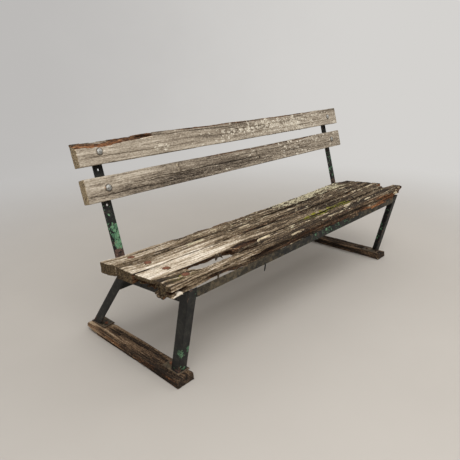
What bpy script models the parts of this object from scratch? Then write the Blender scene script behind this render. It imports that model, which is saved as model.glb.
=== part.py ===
"""Weathered park bench, modelled in metres.

Four seat planks and two back slats are bolted to a pair of welded angle-iron end
frames. A front rail and a rear rail tie the frames together, and each frame stands
on a timber skid. X runs along the bench, -Y is the front and Z is up. The origin is
on the ground, under the middle of the bench.
"""

import math
from collections import namedtuple

import bmesh
import bpy
from mathutils import Vector

# Clearance between pieces that touch
FIT_GAP = 0.0003

# Seat and back timber
TIMBER_LENGTH = 1.790
PLANK_WIDTH = 0.098
PLANK_THICKNESS = 0.040
PLANK_SPACE = 0.0074
SEAT_HEIGHT = 0.449
SEAT_TILT = math.radians(4.7)
PLANK_SAG = 0.005
SLAT_WIDTH = 0.093
SLAT_THICKNESS = 0.039
SLAT_PITCH = 0.1375
LOWER_SLAT_RISE = 0.268
BACK_LEAN = math.radians(16.2)

# Timber skids
SKID_LENGTH = 0.617
SKID_WIDTH = 0.084
SKID_HEIGHT = 0.036
SKID_INSET = 0.012
OVERALL_DEPTH = 0.672

# How far weather has worn the timber
EDGE_CHAMFER = 0.003
WEAR_DEPTH = 0.003
WEAR_WAVE = 0.21
END_WEAR = 0.007
END_LOSS = 0.030
STATION_STEP = 0.050
SKID_STATION_STEP = 0.040
SPLIT_WIDTH = 0.005
SPLIT_TIP = 0.15
SPLIT_STATIONS = 8

# Welded angle-iron frames
END_OVERHANG = 0.082
LEG_FLANGE = 0.040
LEG_WALL = 0.005
LEG_TOP_GAP = 0.003
FRONT_LEG_INSET = 0.008
REAR_LEG_INSET = 0.0135
FRONT_FOOT_SETBACK = 0.0305
REAR_FOOT_SETBACK = 0.0125
SIDE_RAIL_HEIGHT = 0.060
SIDE_RAIL_FLANGE = 0.040
SIDE_RAIL_WALL = 0.005
FRONT_RAIL_SIZE = 0.034
FRONT_RAIL_WALL = 0.004
FRONT_RAIL_DROP = 0.009
REAR_RAIL_HEIGHT = 0.040
REAR_RAIL_DEPTH = 0.038
REAR_RAIL_WALL = 0.005
REAR_RAIL_BOTTOM = 0.2624
UPRIGHT_INSET = 0.015
UPRIGHT_WIDTH = 0.040
UPRIGHT_THICKNESS = 0.008
UPRIGHT_CLEARANCE = 0.0018
UPRIGHT_TOP_MARGIN = 0.030
SPARE_HOLE_DROP = 0.063
SPARE_HOLE_DIAMETER = 0.010

# Foot plates on the skids
FOOT_PLATE_WIDTH = 0.058
FOOT_PLATE_LENGTH = 0.095
FOOT_PLATE_THICKNESS = 0.004
FOOT_PLATE_LIP = 0.006

# Fasteners
ROUND_SIDES = 24
BACK_BOLT_SHANK = 0.010
BACK_BOLT_HEAD = 0.024
BACK_BOLT_DOME = 0.006
BACK_NUT_WIDTH = 0.017
BACK_NUT_HEIGHT = 0.008
WASHER_DIAMETER = 0.021
WASHER_THICKNESS = 0.002
SEAT_BOLT_SHANK = 0.008
SEAT_BOLT_HEAD = 0.025
SEAT_BOLT_DOME = 0.0025
SEAT_NUT_WIDTH = 0.013
SEAT_NUT_HEIGHT = 0.0065
THREAD_PROUD = 0.004
FOOT_SCREW_SHANK = 0.008
FOOT_SCREW_HEAD = 0.013
FOOT_SCREW_HEAD_HEIGHT = 0.0055
FOOT_SCREW_GRIP = 0.028
FOOT_SCREW_EDGE = 0.022

# A rotted place: the edge it is on (across, through), then its centre and reach as shares
# of half the timber's length, and its depth as shares of the width and the thickness
Bite = namedtuple("Bite", "across_side through_side centre reach across through")
# A crack along the upper face: its two ends as shares of half the length and half the width,
# and its depth as a share of the thickness
Split = namedtuple("Split", "start end depth")
# The shares of END_LOSS that are gone from a timber's two ends, its rotted places and cracks
Timber = namedtuple("Timber", "left_loss right_loss bites splits", defaults=((),))

SEAT_PLANKS = {
    "seat_plank_front": Timber(0.13, 1.0, (
        Bite(1, 0, -0.670, 0.168, 0.306, 0.0),
        Bite(-1, 1, 0.223, 0.559, 0.102, 0.25),
        Bite(-1, 0, 0.983, 0.123, 0.204, 0.0),
    ), (
        Split((-0.98, 0.30), (-0.34, 0.02), 0.25),
        Split((-0.22, 0.45), (0.61, 0.30), 0.28),
        Split((0.06, -0.15), (0.84, -0.30), 0.25),
    )),
    "seat_plank_front_middle": Timber(0.4, 0.53, (
        Bite(-1, 0, -0.447, 0.134, 0.184, 0.0),
        Bite(1, 1, 0.391, 0.335, 0.061, 0.15),
    ), (
        Split((-0.98, 0.42), (-0.22, 0.05), 0.40),
        Split((-0.50, 0.55), (0.34, 0.35), 0.28),
        Split((-0.28, -0.35), (0.56, -0.20), 0.30),
        Split((0.22, 0.20), (0.84, 0.35), 0.25),
    )),
    "seat_plank_back_middle": Timber(0.1, 0.13, (
        Bite(-1, 1, -0.168, 0.358, 0.082, 0.15),
    ), (
        Split((-0.98, 0.30), (-0.11, 0.10), 0.28),
        Split((-0.67, -0.62), (0.11, -0.70), 0.33),
        Split((-0.39, 0.70), (0.45, 0.80), 0.28),
        Split((0.00, -0.10), (0.80, 0.08), 0.28),
    )),
    "seat_plank_back": Timber(0.13, 0.0, (
        Bite(1, 1, 0.056, 0.782, 0.102, 0.25),
        Bite(1, -1, -0.983, 0.089, 0.122, 0.30),
    ), (
        Split((-0.98, -0.30), (-0.06, -0.55), 0.28),
        Split((-0.61, 0.35), (0.39, 0.10), 0.28),
        Split((-0.11, -0.20), (0.84, -0.40), 0.28),
    )),
}
BACK_SLATS = {
    "back_slat_lower": Timber(0.13, 0.0, (
        Bite(1, 1, 0.168, 0.559, 0.043, 0.103),
    )),
    "back_slat_upper": Timber(0.13, 0.0, (
        Bite(1, 1, -0.950, 0.313, 0.194, 0.769),
        Bite(1, 0, -0.609, 0.067, 0.075, 0.0),
    )),
}
SKID_FORM = Timber(0.0, 0.0, (
    Bite(1, 1, 0.940, 0.389, 0.214, 0.333),
    Bite(-1, 1, 0.940, 0.324, 0.167, 0.278),
    Bite(-1, 1, -0.972, 0.227, 0.119, 0.222),
))

SIDES = {"left": -1, "right": 1}

# Side view, as (y, z): the seat's underside, the feet and the legs' lines
SEAT_DEPTH = len(SEAT_PLANKS) * PLANK_WIDTH + (len(SEAT_PLANKS) - 1) * PLANK_SPACE
ALONG_SEAT = Vector((math.cos(SEAT_TILT), -math.sin(SEAT_TILT)))
SEAT_NORMAL = Vector((math.sin(SEAT_TILT), math.cos(SEAT_TILT)))
SEAT_FRONT = Vector((-OVERALL_DEPTH / 2, SEAT_HEIGHT - PLANK_THICKNESS * SEAT_NORMAL.y))
SEAT_BACK = SEAT_FRONT + SEAT_DEPTH * ALONG_SEAT
SKID_BACK = OVERALL_DEPTH / 2
SKID_FRONT = SKID_BACK - SKID_LENGTH
FOOT_HEIGHT = SKID_HEIGHT + FOOT_PLATE_THICKNESS + 2 * FIT_GAP


def underside(y):
    """Height of the planks' underside at a place along the depth."""
    return SEAT_FRONT.y + (y - SEAT_FRONT.x) * ALONG_SEAT.y / ALONG_SEAT.x


def crossing(point, direction, other_point, other_direction):
    """Where two lines of the side view meet."""
    offset = other_point - point
    turn = direction.cross(other_direction)
    return point + direction * (offset.cross(other_direction) / turn)


def leg_line(foot_y, top_y):
    """Foot, top and direction of a leg's outer edge in the side view."""
    foot = Vector((foot_y, FOOT_HEIGHT))
    top = Vector((top_y, underside(top_y) - LEG_TOP_GAP))
    return foot, (top - foot).normalized()


FRONT_FOOT, FRONT_LEG_RUN = leg_line(SKID_FRONT + FRONT_FOOT_SETBACK, SEAT_FRONT.x + FRONT_LEG_INSET)
REAR_FOOT, REAR_LEG_RUN = leg_line(SKID_BACK - REAR_FOOT_SETBACK, SEAT_BACK.x - REAR_LEG_INSET)
FRONT_WALL_LEVEL = LEG_WALL / FRONT_LEG_RUN.y
REAR_WALL_LEVEL = LEG_WALL / REAR_LEG_RUN.y
UPRIGHT_RUN = Vector((math.sin(BACK_LEAN), math.cos(BACK_LEAN)))
UPRIGHT_BACKWARD = Vector((math.cos(BACK_LEAN), -math.sin(BACK_LEAN)))
SEAT_BACK_TOP = SEAT_BACK + PLANK_THICKNESS * SEAT_NORMAL
BACK_DATUM = Vector((SEAT_BACK_TOP.x + UPRIGHT_CLEARANCE, SEAT_BACK_TOP.y))
UPPER_SLAT_RISE = LOWER_SLAT_RISE + SLAT_PITCH
FRAME_HALF_SPAN = TIMBER_LENGTH / 2 - END_OVERHANG
BACK_BOLT_X = FRAME_HALF_SPAN - UPRIGHT_INSET
SIDE_RAIL_X = FRAME_HALF_SPAN - LEG_WALL - FIT_GAP
SEAT_BOLT_X = SIDE_RAIL_X - (SIDE_RAIL_FLANGE + SIDE_RAIL_WALL) / 2
SKID_X = FRAME_HALF_SPAN - SKID_INSET
FOOT_PLATE_X = FRAME_HALF_SPAN + FOOT_PLATE_LIP - FOOT_PLATE_WIDTH / 2


def clear_scene():
    for old in list(bpy.data.objects):
        bpy.data.objects.remove(old, do_unlink=True)


def finish(name, colour, roughness, metallic):
    material = bpy.data.materials.new(name)
    material.use_nodes = True
    shader = material.node_tree.nodes["Principled BSDF"]
    shader.inputs["Base Color"].default_value = (*colour, 1.0)
    shader.inputs["Roughness"].default_value = roughness
    shader.inputs["Metallic"].default_value = metallic
    return material


def datum(name, point, tilt):
    """An empty in the side view that carries the pieces of a tilted assembly."""
    empty = bpy.data.objects.new(name, None)
    bpy.context.collection.objects.link(empty)
    empty.location = (0.0, point.x, point.y)
    empty.rotation_euler = (-tilt, 0.0, 0.0)
    return empty


def body_from_loops(loops, ring=False, fanned=False):
    """One closed body through a row of point loops, joined end to end or capped flat or as fans."""
    bm = bmesh.new()
    rows = [[bm.verts.new(point) for point in loop] for loop in loops]
    pairs = list(zip(rows, rows[1:]))
    if ring:
        pairs.append((rows[-1], rows[0]))
    elif fanned:
        for row in (rows[0][::-1], rows[-1]):
            middle = bm.verts.new(sum((vert.co for vert in row), Vector()) / len(row))
            for vert, after in zip(row, row[1:] + row[:1]):
                bm.faces.new((vert, after, middle))
    else:
        bm.faces.new(rows[0][::-1])
        bm.faces.new(rows[-1])
    for lower, upper in pairs:
        for i in range(len(lower)):
            j = (i + 1) % len(lower)
            bm.faces.new((lower[i], lower[j], upper[j], upper[i]))
    if bm.calc_volume(signed=True) < 0:
        bmesh.ops.reverse_faces(bm, faces=bm.faces)
    return bm


def add_piece(name, bm, material=None, parent=None, location=(0, 0, 0), rotation=(0, 0, 0), smooth=False):
    mesh = bpy.data.meshes.new(name)
    bm.to_mesh(mesh)
    bm.free()
    if material:
        mesh.materials.append(material)
    if smooth:
        mesh.shade_smooth()
        mesh.set_sharp_from_angle(angle=math.radians(40))
    piece = bpy.data.objects.new(name, mesh)
    bpy.context.collection.objects.link(piece)
    piece.parent = parent
    piece.location = location
    piece.rotation_euler = rotation
    return piece


def cut(piece, name, bm, parent=None, location=(0, 0, 0), rotation=(0, 0, 0)):
    """Take a shape out of a piece with a Boolean."""
    cutter = add_piece(name, bm, None, parent, location, rotation)
    cutter.hide_render = True
    cutter.display_type = "WIRE"
    boolean = piece.modifiers.new(name, "BOOLEAN")
    boolean.operation = "DIFFERENCE"
    boolean.solver = "EXACT"
    boolean.object = cutter


def circle(radius, height, centre=(0.0, 0.0)):
    turns = [2 * math.pi * i / ROUND_SIDES for i in range(ROUND_SIDES)]
    return [Vector((centre[0] + radius * math.cos(a), centre[1] + radius * math.sin(a), height)) for a in turns]


def hexagon(width, height):
    """A hexagon across flats, with as many points as a round loop."""
    flat = math.pi / 3
    points = []
    for i in range(ROUND_SIDES):
        angle = 2 * math.pi * i / ROUND_SIDES
        radius = width / 2 / math.cos(angle % flat - flat / 2)
        points.append(Vector((radius * math.cos(angle), radius * math.sin(angle), height)))
    return points


def rod(radius, low, high, centre=(0.0, 0.0)):
    return body_from_loops([circle(radius, low, centre), circle(radius, high, centre)])


def joined(bodies):
    """Several closed bodies in one cutter."""
    whole = bmesh.new()
    for bm in bodies:
        scratch = bpy.data.meshes.new("scratch")
        bm.to_mesh(scratch)
        bm.free()
        whole.from_mesh(scratch)
        bpy.data.meshes.remove(scratch)
    return whole


def dome_bolt(head, dome, shank, length):
    """A bolt with a domed head, its head's underside at height 0."""
    steps = (0.0, 0.45, 0.75, 0.95)
    loops = [circle(head / 2 * math.sqrt(1 - s * s), dome * s) for s in reversed(steps)]
    loops += [circle(shank / 2, 0.0), circle(shank / 2, -length)]
    return body_from_loops(loops)


def hex_screw(width, height, shank, length):
    loops = [hexagon(width, height), hexagon(width, 0.0), circle(shank / 2, 0.0), circle(shank / 2, -length)]
    return body_from_loops(loops)


def hex_nut(width, height, bore):
    loops = [hexagon(width, height), hexagon(width, 0.0), circle(bore / 2, 0.0), circle(bore / 2, height)]
    return body_from_loops(loops, ring=True)


def washer(diameter, height, bore):
    loops = [circle(diameter / 2, height), circle(diameter / 2, 0.0)]
    loops += [circle(bore / 2, 0.0), circle(bore / 2, height)]
    return body_from_loops(loops, ring=True)


def ripple(along, phase):
    """A slow wave from 0 to 1 along a timber."""
    turn = 2 * math.pi * along / WEAR_WAVE
    return 0.5 + 0.3 * math.sin(turn + phase) + 0.2 * math.sin(0.43 * turn + 2.6 * phase)


def timber_section(width, thickness):
    """A sawn section with worn corners, as (across, through) from its centre."""
    half_w = width / 2
    half_t = thickness / 2
    flat_w = half_w - EDGE_CHAMFER
    flat_t = half_t - EDGE_CHAMFER
    face = [(flat_w, half_t), (0.0, half_t), (-flat_w, half_t), (-half_w, flat_t), (-half_w, -flat_t)]
    return face + [(-a, -t) for a, t in face]


def rotted(point, share, half_w, half_t, bites):
    """Move a section point in from its edge where the timber has rotted."""
    across, through = point
    for bite in bites:
        fall = max(0.0, 1.0 - ((share - bite.centre) / bite.reach) ** 2)
        weight = max(0.0, point[0] * bite.across_side / half_w) ** 2
        if bite.through_side:
            weight *= max(0.0, point[1] * bite.through_side / half_t) ** 2
        across -= bite.across_side * bite.across * 2 * half_w * fall * weight
        through -= bite.through_side * bite.through * 2 * half_t * fall * weight
    return across, through


def sagging(along, sag, span):
    """How far a timber hangs below its ends at a place along it."""
    return sag * max(0.0, 1.0 - (along / span) ** 2)


def weathered_timber(length, width, thickness, form, step, sag=0.0, sag_span=1.0, phase=0.0):
    """A worn timber along X, its width along Y and its underside at Z = 0."""
    half_w = width / 2
    half_t = thickness / 2
    low = -length / 2 + form.left_loss * END_LOSS
    high = length / 2 - form.right_loss * END_LOSS
    count = round(length / step)
    section = timber_section(width, thickness)
    loops = []
    for k in range(count + 1):
        along = low + (high - low) * k / count
        at_end = k in (0, count)
        inward = 1 if k == 0 else -1
        drop = sagging(along, sag, sag_span)
        loop = []
        for i, point in enumerate(section):
            across, through = rotted(point, along / (length / 2), half_w, half_t, form.bites)
            wear = WEAR_DEPTH * ripple(along, phase + 1.7 * i)
            if abs(point[0]) > half_w - 2 * EDGE_CHAMFER:
                across -= math.copysign(wear, across)
            if point[1] > 0:
                through -= wear / 2
            end_shift = inward * END_WEAR * ripple(0.0, phase + 1.9 * i) if at_end else 0.0
            loop.append(Vector((along + end_shift, across, through + half_t - drop)))
        loops.append(loop)
    return body_from_loops(loops, fanned=True)


def split_wedge(length, width, thickness, split, sag, sag_span):
    """A cutter for a crack along a timber's upper face, deepest and widest at its middle."""
    loops = []
    for k in range(SPLIT_STATIONS + 1):
        share = k / SPLIT_STATIONS
        opening = max(SPLIT_TIP, 2 * math.sqrt(share * (1 - share)))
        along = (split.start[0] + (split.end[0] - split.start[0]) * share) * length / 2
        across = (split.start[1] + (split.end[1] - split.start[1]) * share) * width / 2
        depth = opening * split.depth * thickness
        surface = thickness - sagging(along, sag, sag_span)
        half = opening * SPLIT_WIDTH
        outline = [(across - half, surface + depth), (across, surface - depth)]
        outline.append((across + half, surface + depth))
        loops.append([Vector((along, y, z)) for y, z in outline])
    return body_from_loops(loops)


def leg_profile(outer_x, inward, front_y, flange_level, wall_level, wall_at_front):
    """Level section of a leaning angle iron, as (x, y) points."""
    inner_x = outer_x + inward * LEG_FLANGE
    wall_x = outer_x + inward * LEG_WALL
    back_y = front_y + flange_level
    points = [(outer_x, front_y), (inner_x, front_y), (inner_x, front_y + wall_level)]
    points += [(wall_x, front_y + wall_level), (wall_x, back_y), (outer_x, back_y)]
    if wall_at_front:
        return points
    return [(x, front_y + back_y - y) for x, y in points]


def leaning_leg(profile, run):
    """An angle iron cut level at its foot and along the planks' slope at its top."""
    slope = ALONG_SEAT.y / ALONG_SEAT.x
    loops = [[], []]
    for x, y in profile:
        travel = (underside(y) - LEG_TOP_GAP - FOOT_HEIGHT) / (run.y - slope * run.x)
        loops[0].append(Vector((x, y, FOOT_HEIGHT)))
        loops[1].append(Vector((x, y + travel * run.x, FOOT_HEIGHT + travel * run.y)))
    return body_from_loops(loops)


def extruded(outline, axis, start, end):
    """A prism from an outline of (a, b) points, run along X or along Y."""
    if axis == "X":
        loops = [[Vector((c, a, b)) for a, b in outline] for c in (start, end)]
    else:
        loops = [[Vector((a, c, b)) for a, b in outline] for c in (start, end)]
    return body_from_loops(loops)


def upright_outline(grow):
    """Side view of an upright, its front face moved forward by grow."""
    front = BACK_DATUM - grow * UPRIGHT_BACKWARD
    back = BACK_DATUM + UPRIGHT_THICKNESS * UPRIGHT_BACKWARD
    leg_normal = Vector((REAR_LEG_RUN.y, -REAR_LEG_RUN.x))
    seat = REAR_FOOT + FIT_GAP * leg_normal
    top = (UPPER_SLAT_RISE + UPRIGHT_TOP_MARGIN) * UPRIGHT_RUN
    return [
        crossing(front, UPRIGHT_RUN, seat, REAR_LEG_RUN),
        crossing(back, UPRIGHT_RUN, seat, REAR_LEG_RUN),
        back + top,
        front + top,
    ]


def add_seat(wood, iron, seat):
    """The four planks with their bolts and nuts, in the tilted frame of the seat."""
    hole = SEAT_BOLT_SHANK / 2 + FIT_GAP
    nut_height = -2 * FIT_GAP - SIDE_RAIL_WALL - SEAT_NUT_HEIGHT
    shank_length = PLANK_THICKNESS + FIT_GAP - nut_height + THREAD_PROUD
    for i, (name, form) in enumerate(SEAT_PLANKS.items()):
        across = PLANK_WIDTH / 2 + i * (PLANK_WIDTH + PLANK_SPACE)
        place = (0.0, across, 0.0)
        size = (TIMBER_LENGTH, PLANK_WIDTH, PLANK_THICKNESS)
        sag = (PLANK_SAG, SIDE_RAIL_X - SIDE_RAIL_FLANGE)
        timber = weathered_timber(*size, form, STATION_STEP, *sag, phase=1.0 + i)
        plank = add_piece(name, timber, wood, seat, place)
        wedges = [split_wedge(*size, split, *sag) for split in form.splits]
        cut(plank, name + "_splits", joined(wedges), seat, place)
        spots = [(side * SEAT_BOLT_X, 0.0) for side in SIDES.values()]
        holes = [rod(hole, -PLANK_THICKNESS, 2 * PLANK_THICKNESS, spot) for spot in spots]
        cut(plank, name + "_holes", joined(holes), seat, place)
        for side_name, side in SIDES.items():
            label = side_name + name[len("seat_plank"):]
            bolt = dome_bolt(SEAT_BOLT_HEAD, SEAT_BOLT_DOME, SEAT_BOLT_SHANK, shank_length)
            spot = (side * SEAT_BOLT_X, across, PLANK_THICKNESS + FIT_GAP)
            add_piece("seat_bolt_" + label, bolt, iron, seat, spot, smooth=True)
            nut = hex_nut(SEAT_NUT_WIDTH, SEAT_NUT_HEIGHT, 2 * hole)
            spot = (side * SEAT_BOLT_X, across, nut_height)
            add_piece("seat_nut_" + label, nut, iron, seat, spot)
    back_plank = bpy.data.objects["seat_plank_back"]
    half = UPRIGHT_WIDTH / 2 + FIT_GAP
    notches = [
        extruded(upright_outline(FIT_GAP), "X", side * BACK_BOLT_X - half, side * BACK_BOLT_X + half)
        for side in SIDES.values()
    ]
    cut(back_plank, "upright_notches", joined(notches))


def add_back(wood, steel, zinc, back):
    """The uprights and the two slats with their bolts, in the leaning frame of the back."""
    face_on = (math.pi / 2, 0.0, 0.0)
    hole = BACK_BOLT_SHANK / 2 + FIT_GAP
    rises = {"back_slat_lower": LOWER_SLAT_RISE, "back_slat_upper": UPPER_SLAT_RISE}
    washer_back = UPRIGHT_THICKNESS + FIT_GAP + WASHER_THICKNESS
    nut_back = washer_back + FIT_GAP + BACK_NUT_HEIGHT
    for side_name, side in SIDES.items():
        half = UPRIGHT_WIDTH / 2
        body = extruded(upright_outline(0.0), "X", side * BACK_BOLT_X - half, side * BACK_BOLT_X + half)
        upright = add_piece(side_name + "_back_upright", body, steel)
        holes = []
        for rise in rises.values():
            holes.append(rod(hole, -2 * UPRIGHT_THICKNESS, UPRIGHT_THICKNESS, (0.0, rise)))
            spare = (0.0, rise - SPARE_HOLE_DROP)
            holes.append(rod(SPARE_HOLE_DIAMETER / 2, -2 * UPRIGHT_THICKNESS, UPRIGHT_THICKNESS, spare))
        cut(upright, side_name + "_upright_holes", joined(holes), back, (side * BACK_BOLT_X, 0.0, 0.0), face_on)
    for i, (name, form) in enumerate(BACK_SLATS.items()):
        rise = rises[name]
        timber = weathered_timber(
            TIMBER_LENGTH, SLAT_WIDTH, SLAT_THICKNESS, form, STATION_STEP, phase=6.0 + i,
        )
        place = (0.0, -FIT_GAP, rise)
        slat = add_piece(name, timber, wood, back, place, face_on)
        spots = [(side * BACK_BOLT_X, 0.0) for side in SIDES.values()]
        holes = [rod(hole, -SLAT_THICKNESS, 2 * SLAT_THICKNESS, spot) for spot in spots]
        cut(slat, name + "_holes", joined(holes), back, place, face_on)
        head_front = -2 * FIT_GAP - SLAT_THICKNESS
        shank_length = nut_back + THREAD_PROUD - head_front
        for side_name, side in SIDES.items():
            label = side_name + name[len("back_slat"):]
            across = side * BACK_BOLT_X
            bolt = dome_bolt(BACK_BOLT_HEAD, BACK_BOLT_DOME, BACK_BOLT_SHANK, shank_length)
            add_piece("back_bolt_" + label, bolt, zinc, back, (across, head_front, rise), face_on, True)
            disc = washer(WASHER_DIAMETER, WASHER_THICKNESS, 2 * hole)
            add_piece("back_washer_" + label, disc, zinc, back, (across, washer_back, rise), face_on)
            nut = hex_nut(BACK_NUT_WIDTH, BACK_NUT_HEIGHT, 2 * hole)
            add_piece("back_nut_" + label, nut, zinc, back, (across, nut_back, rise), face_on)


def side_rail_ends():
    """Where a side rail starts and stops along the seat, between the two legs."""
    leg_inside = FRONT_FOOT + Vector((FRONT_WALL_LEVEL + FIT_GAP, 0.0))
    rail_bottom = SEAT_FRONT - (FIT_GAP + SIDE_RAIL_HEIGHT) * SEAT_NORMAL
    start = crossing(rail_bottom, ALONG_SEAT, leg_inside, FRONT_LEG_RUN)
    leg_inside = REAR_FOOT - Vector((REAR_WALL_LEVEL + FIT_GAP, 0.0))
    rail_top = SEAT_FRONT - FIT_GAP * SEAT_NORMAL
    stop = crossing(rail_top, ALONG_SEAT, leg_inside, REAR_LEG_RUN)
    return (start - SEAT_FRONT).dot(ALONG_SEAT), (stop - SEAT_FRONT).dot(ALONG_SEAT)


def add_end_frame(side_name, side, steel, seat):
    """Front leg, rear leg and side rail of one welded end frame."""
    outer = side * FRAME_HALF_SPAN
    profile = leg_profile(outer, -side, FRONT_FOOT.x, LEG_FLANGE / FRONT_LEG_RUN.y, FRONT_WALL_LEVEL, True)
    add_piece(side_name + "_front_leg", leaning_leg(profile, FRONT_LEG_RUN), steel)
    flange_level = LEG_FLANGE / REAR_LEG_RUN.y
    profile = leg_profile(outer, -side, REAR_FOOT.x - flange_level, flange_level, REAR_WALL_LEVEL, False)
    add_piece(side_name + "_rear_leg", leaning_leg(profile, REAR_LEG_RUN), steel)
    wall = SIDE_RAIL_WALL
    low = -FIT_GAP - SIDE_RAIL_HEIGHT
    angle = [(0.0, -FIT_GAP), (-SIDE_RAIL_FLANGE, -FIT_GAP), (-SIDE_RAIL_FLANGE, -FIT_GAP - wall)]
    angle += [(-wall, -FIT_GAP - wall), (-wall, low), (0.0, low)]
    outline = [(side * (SIDE_RAIL_X + x), z) for x, z in angle]
    rail = add_piece(side_name + "_seat_rail", extruded(outline, "Y", *side_rail_ends()), steel, seat)
    hole = SEAT_BOLT_SHANK / 2 + FIT_GAP
    holes = []
    for i in range(len(SEAT_PLANKS)):
        spot = (side * SEAT_BOLT_X, PLANK_WIDTH / 2 + i * (PLANK_WIDTH + PLANK_SPACE))
        holes.append(rod(hole, -FIT_GAP - 2 * wall, wall, spot))
    cut(rail, side_name + "_rail_holes", joined(holes), seat)


def add_cross_rails(steel):
    """The front rail between the front legs and the rear rail between the rear legs."""
    top = SEAT_FRONT.y - FRONT_RAIL_DROP
    low = top - FRONT_RAIL_SIZE
    wall = FRONT_RAIL_WALL
    middle = Vector((0.0, (top + low) / 2))
    front = crossing(FRONT_FOOT, FRONT_LEG_RUN, middle, Vector((1.0, 0.0))).x
    back = front + FRONT_RAIL_SIZE
    outline = [(front, top), (front, low), (back, low), (back, low + wall)]
    outline += [(front + wall, low + wall), (front + wall, top)]
    reach = FRAME_HALF_SPAN - LEG_FLANGE - FIT_GAP
    add_piece("front_rail", extruded(outline, "X", -reach, reach), steel)
    low = REAR_RAIL_BOTTOM
    wall = REAR_RAIL_WALL
    ledge = Vector((0.0, low + wall))
    leg_inside = REAR_FOOT - Vector((REAR_WALL_LEVEL + FIT_GAP, 0.0))
    back = crossing(leg_inside, REAR_LEG_RUN, ledge, Vector((1.0, 0.0))).x
    front = back - REAR_RAIL_DEPTH
    top = low + REAR_RAIL_HEIGHT
    outline = [(front, top), (front, low), (back, low), (back, low + wall)]
    outline += [(front + wall, low + wall), (front + wall, top)]
    reach = FRAME_HALF_SPAN - LEG_WALL - FIT_GAP
    add_piece("rear_rail", extruded(outline, "X", -reach, reach), steel)


def add_foot(side_name, side, wood, steel, iron):
    """A timber skid with the two foot plates screwed to it."""
    size = (SKID_LENGTH, SKID_WIDTH, SKID_HEIGHT)
    timber = weathered_timber(*size, SKID_FORM, SKID_STATION_STEP, phase=9.0 + side)
    place = (side * SKID_X, (SKID_FRONT + SKID_BACK) / 2, 0.0)
    skid = add_piece(side_name + "_skid", timber, wood, None, place, (0.0, 0.0, math.pi / 2))
    hole = FOOT_SCREW_SHANK / 2 + FIT_GAP
    half_width = FOOT_PLATE_WIDTH / 2
    low = SKID_HEIGHT + FIT_GAP
    high = low + FOOT_PLATE_THICKNESS
    fronts = {
        "front": FRONT_FOOT.x - FOOT_PLATE_LIP,
        "rear": REAR_FOOT.x + FOOT_PLATE_LIP - FOOT_PLATE_LENGTH,
    }
    for end_name, front in fronts.items():
        back = front + FOOT_PLATE_LENGTH
        screw_y = back - FOOT_SCREW_EDGE if end_name == "front" else front + FOOT_SCREW_EDGE
        label = side_name + "_" + end_name
        plate_x = side * FOOT_PLATE_X
        outline = [(plate_x - half_width, low), (plate_x + half_width, low)]
        outline += [(plate_x + half_width, high), (plate_x - half_width, high)]
        plate = add_piece(label + "_foot_plate", extruded(outline, "Y", front, back), steel)
        spot = (plate_x, screw_y)
        cut(plate, label + "_plate_hole", rod(hole, low - FOOT_PLATE_THICKNESS, 2 * high, spot))
        bottom = high - FOOT_SCREW_GRIP - FIT_GAP
        cut(skid, label + "_skid_hole", rod(hole, bottom, 2 * high, spot))
        screw = hex_screw(FOOT_SCREW_HEAD, FOOT_SCREW_HEAD_HEIGHT, FOOT_SCREW_SHANK, FOOT_SCREW_GRIP)
        add_piece("foot_screw_" + label, screw, iron, None, (plate_x, screw_y, high + FIT_GAP))


def build():
    clear_scene()
    wood = finish("weathered_wood", (0.30, 0.26, 0.21), 0.9, 0.0)
    skid_wood = finish("skid_wood", (0.16, 0.11, 0.08), 0.9, 0.0)
    steel = finish("dark_paint", (0.03, 0.035, 0.035), 0.55, 0.2)
    zinc = finish("galvanised_bolt", (0.55, 0.55, 0.53), 0.45, 0.8)
    iron = finish("rusty_iron", (0.20, 0.09, 0.05), 0.85, 0.3)
    seat = datum("seat_datum", SEAT_FRONT, SEAT_TILT)
    back = datum("back_datum", BACK_DATUM, BACK_LEAN)
    add_seat(wood, iron, seat)
    add_back(wood, steel, zinc, back)
    add_cross_rails(steel)
    for side_name, side in SIDES.items():
        add_end_frame(side_name, side, steel, seat)
        add_foot(side_name, side, skid_wood, steel, iron)


build()
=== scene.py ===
# %% [markdown]
# # A weathered park bench
# Four planks and two back slats are bolted to a pair of welded angle-iron frames that stand
# on timber skids. Years outdoors have silvered the wood, opened cracks in it and rotted its
# edges. The packed model gives the exact place and size of every piece, so we load it first
# and dress it piece by piece.

# %% Load the packed bench
import itertools
import math

import bmesh
import bpy
import numpy as np
from mathutils import Matrix, Vector


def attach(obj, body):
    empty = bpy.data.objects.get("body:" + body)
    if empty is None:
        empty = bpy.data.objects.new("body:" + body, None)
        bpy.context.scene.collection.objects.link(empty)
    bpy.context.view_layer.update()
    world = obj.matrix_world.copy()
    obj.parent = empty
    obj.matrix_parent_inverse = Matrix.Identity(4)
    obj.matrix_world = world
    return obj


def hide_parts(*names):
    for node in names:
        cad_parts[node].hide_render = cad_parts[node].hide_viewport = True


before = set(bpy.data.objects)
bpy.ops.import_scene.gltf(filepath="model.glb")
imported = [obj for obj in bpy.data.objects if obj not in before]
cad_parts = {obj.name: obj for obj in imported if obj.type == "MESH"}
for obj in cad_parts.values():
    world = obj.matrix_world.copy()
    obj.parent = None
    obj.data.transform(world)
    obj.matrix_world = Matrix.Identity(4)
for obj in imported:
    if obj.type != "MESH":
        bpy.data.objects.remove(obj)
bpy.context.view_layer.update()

# %% [markdown]
# ## The camera
# A camera is a place, a direction and a lens. We write the direction as a turn about the
# vertical, a tilt downwards and a small roll, and build the camera's three axes from them,
# because a matrix leaves no doubt about which way is up.

# %% Camera at the photograph's angle
PICTURE_SIDE = 460
FOCAL_PIXELS = 462.4
CAMERA_PLACE = Vector((-1.733, -1.371, 1.113))
TURN, TILT, ROLL = (math.radians(angle) for angle in (42.86, 19.55, -0.48))

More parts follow.
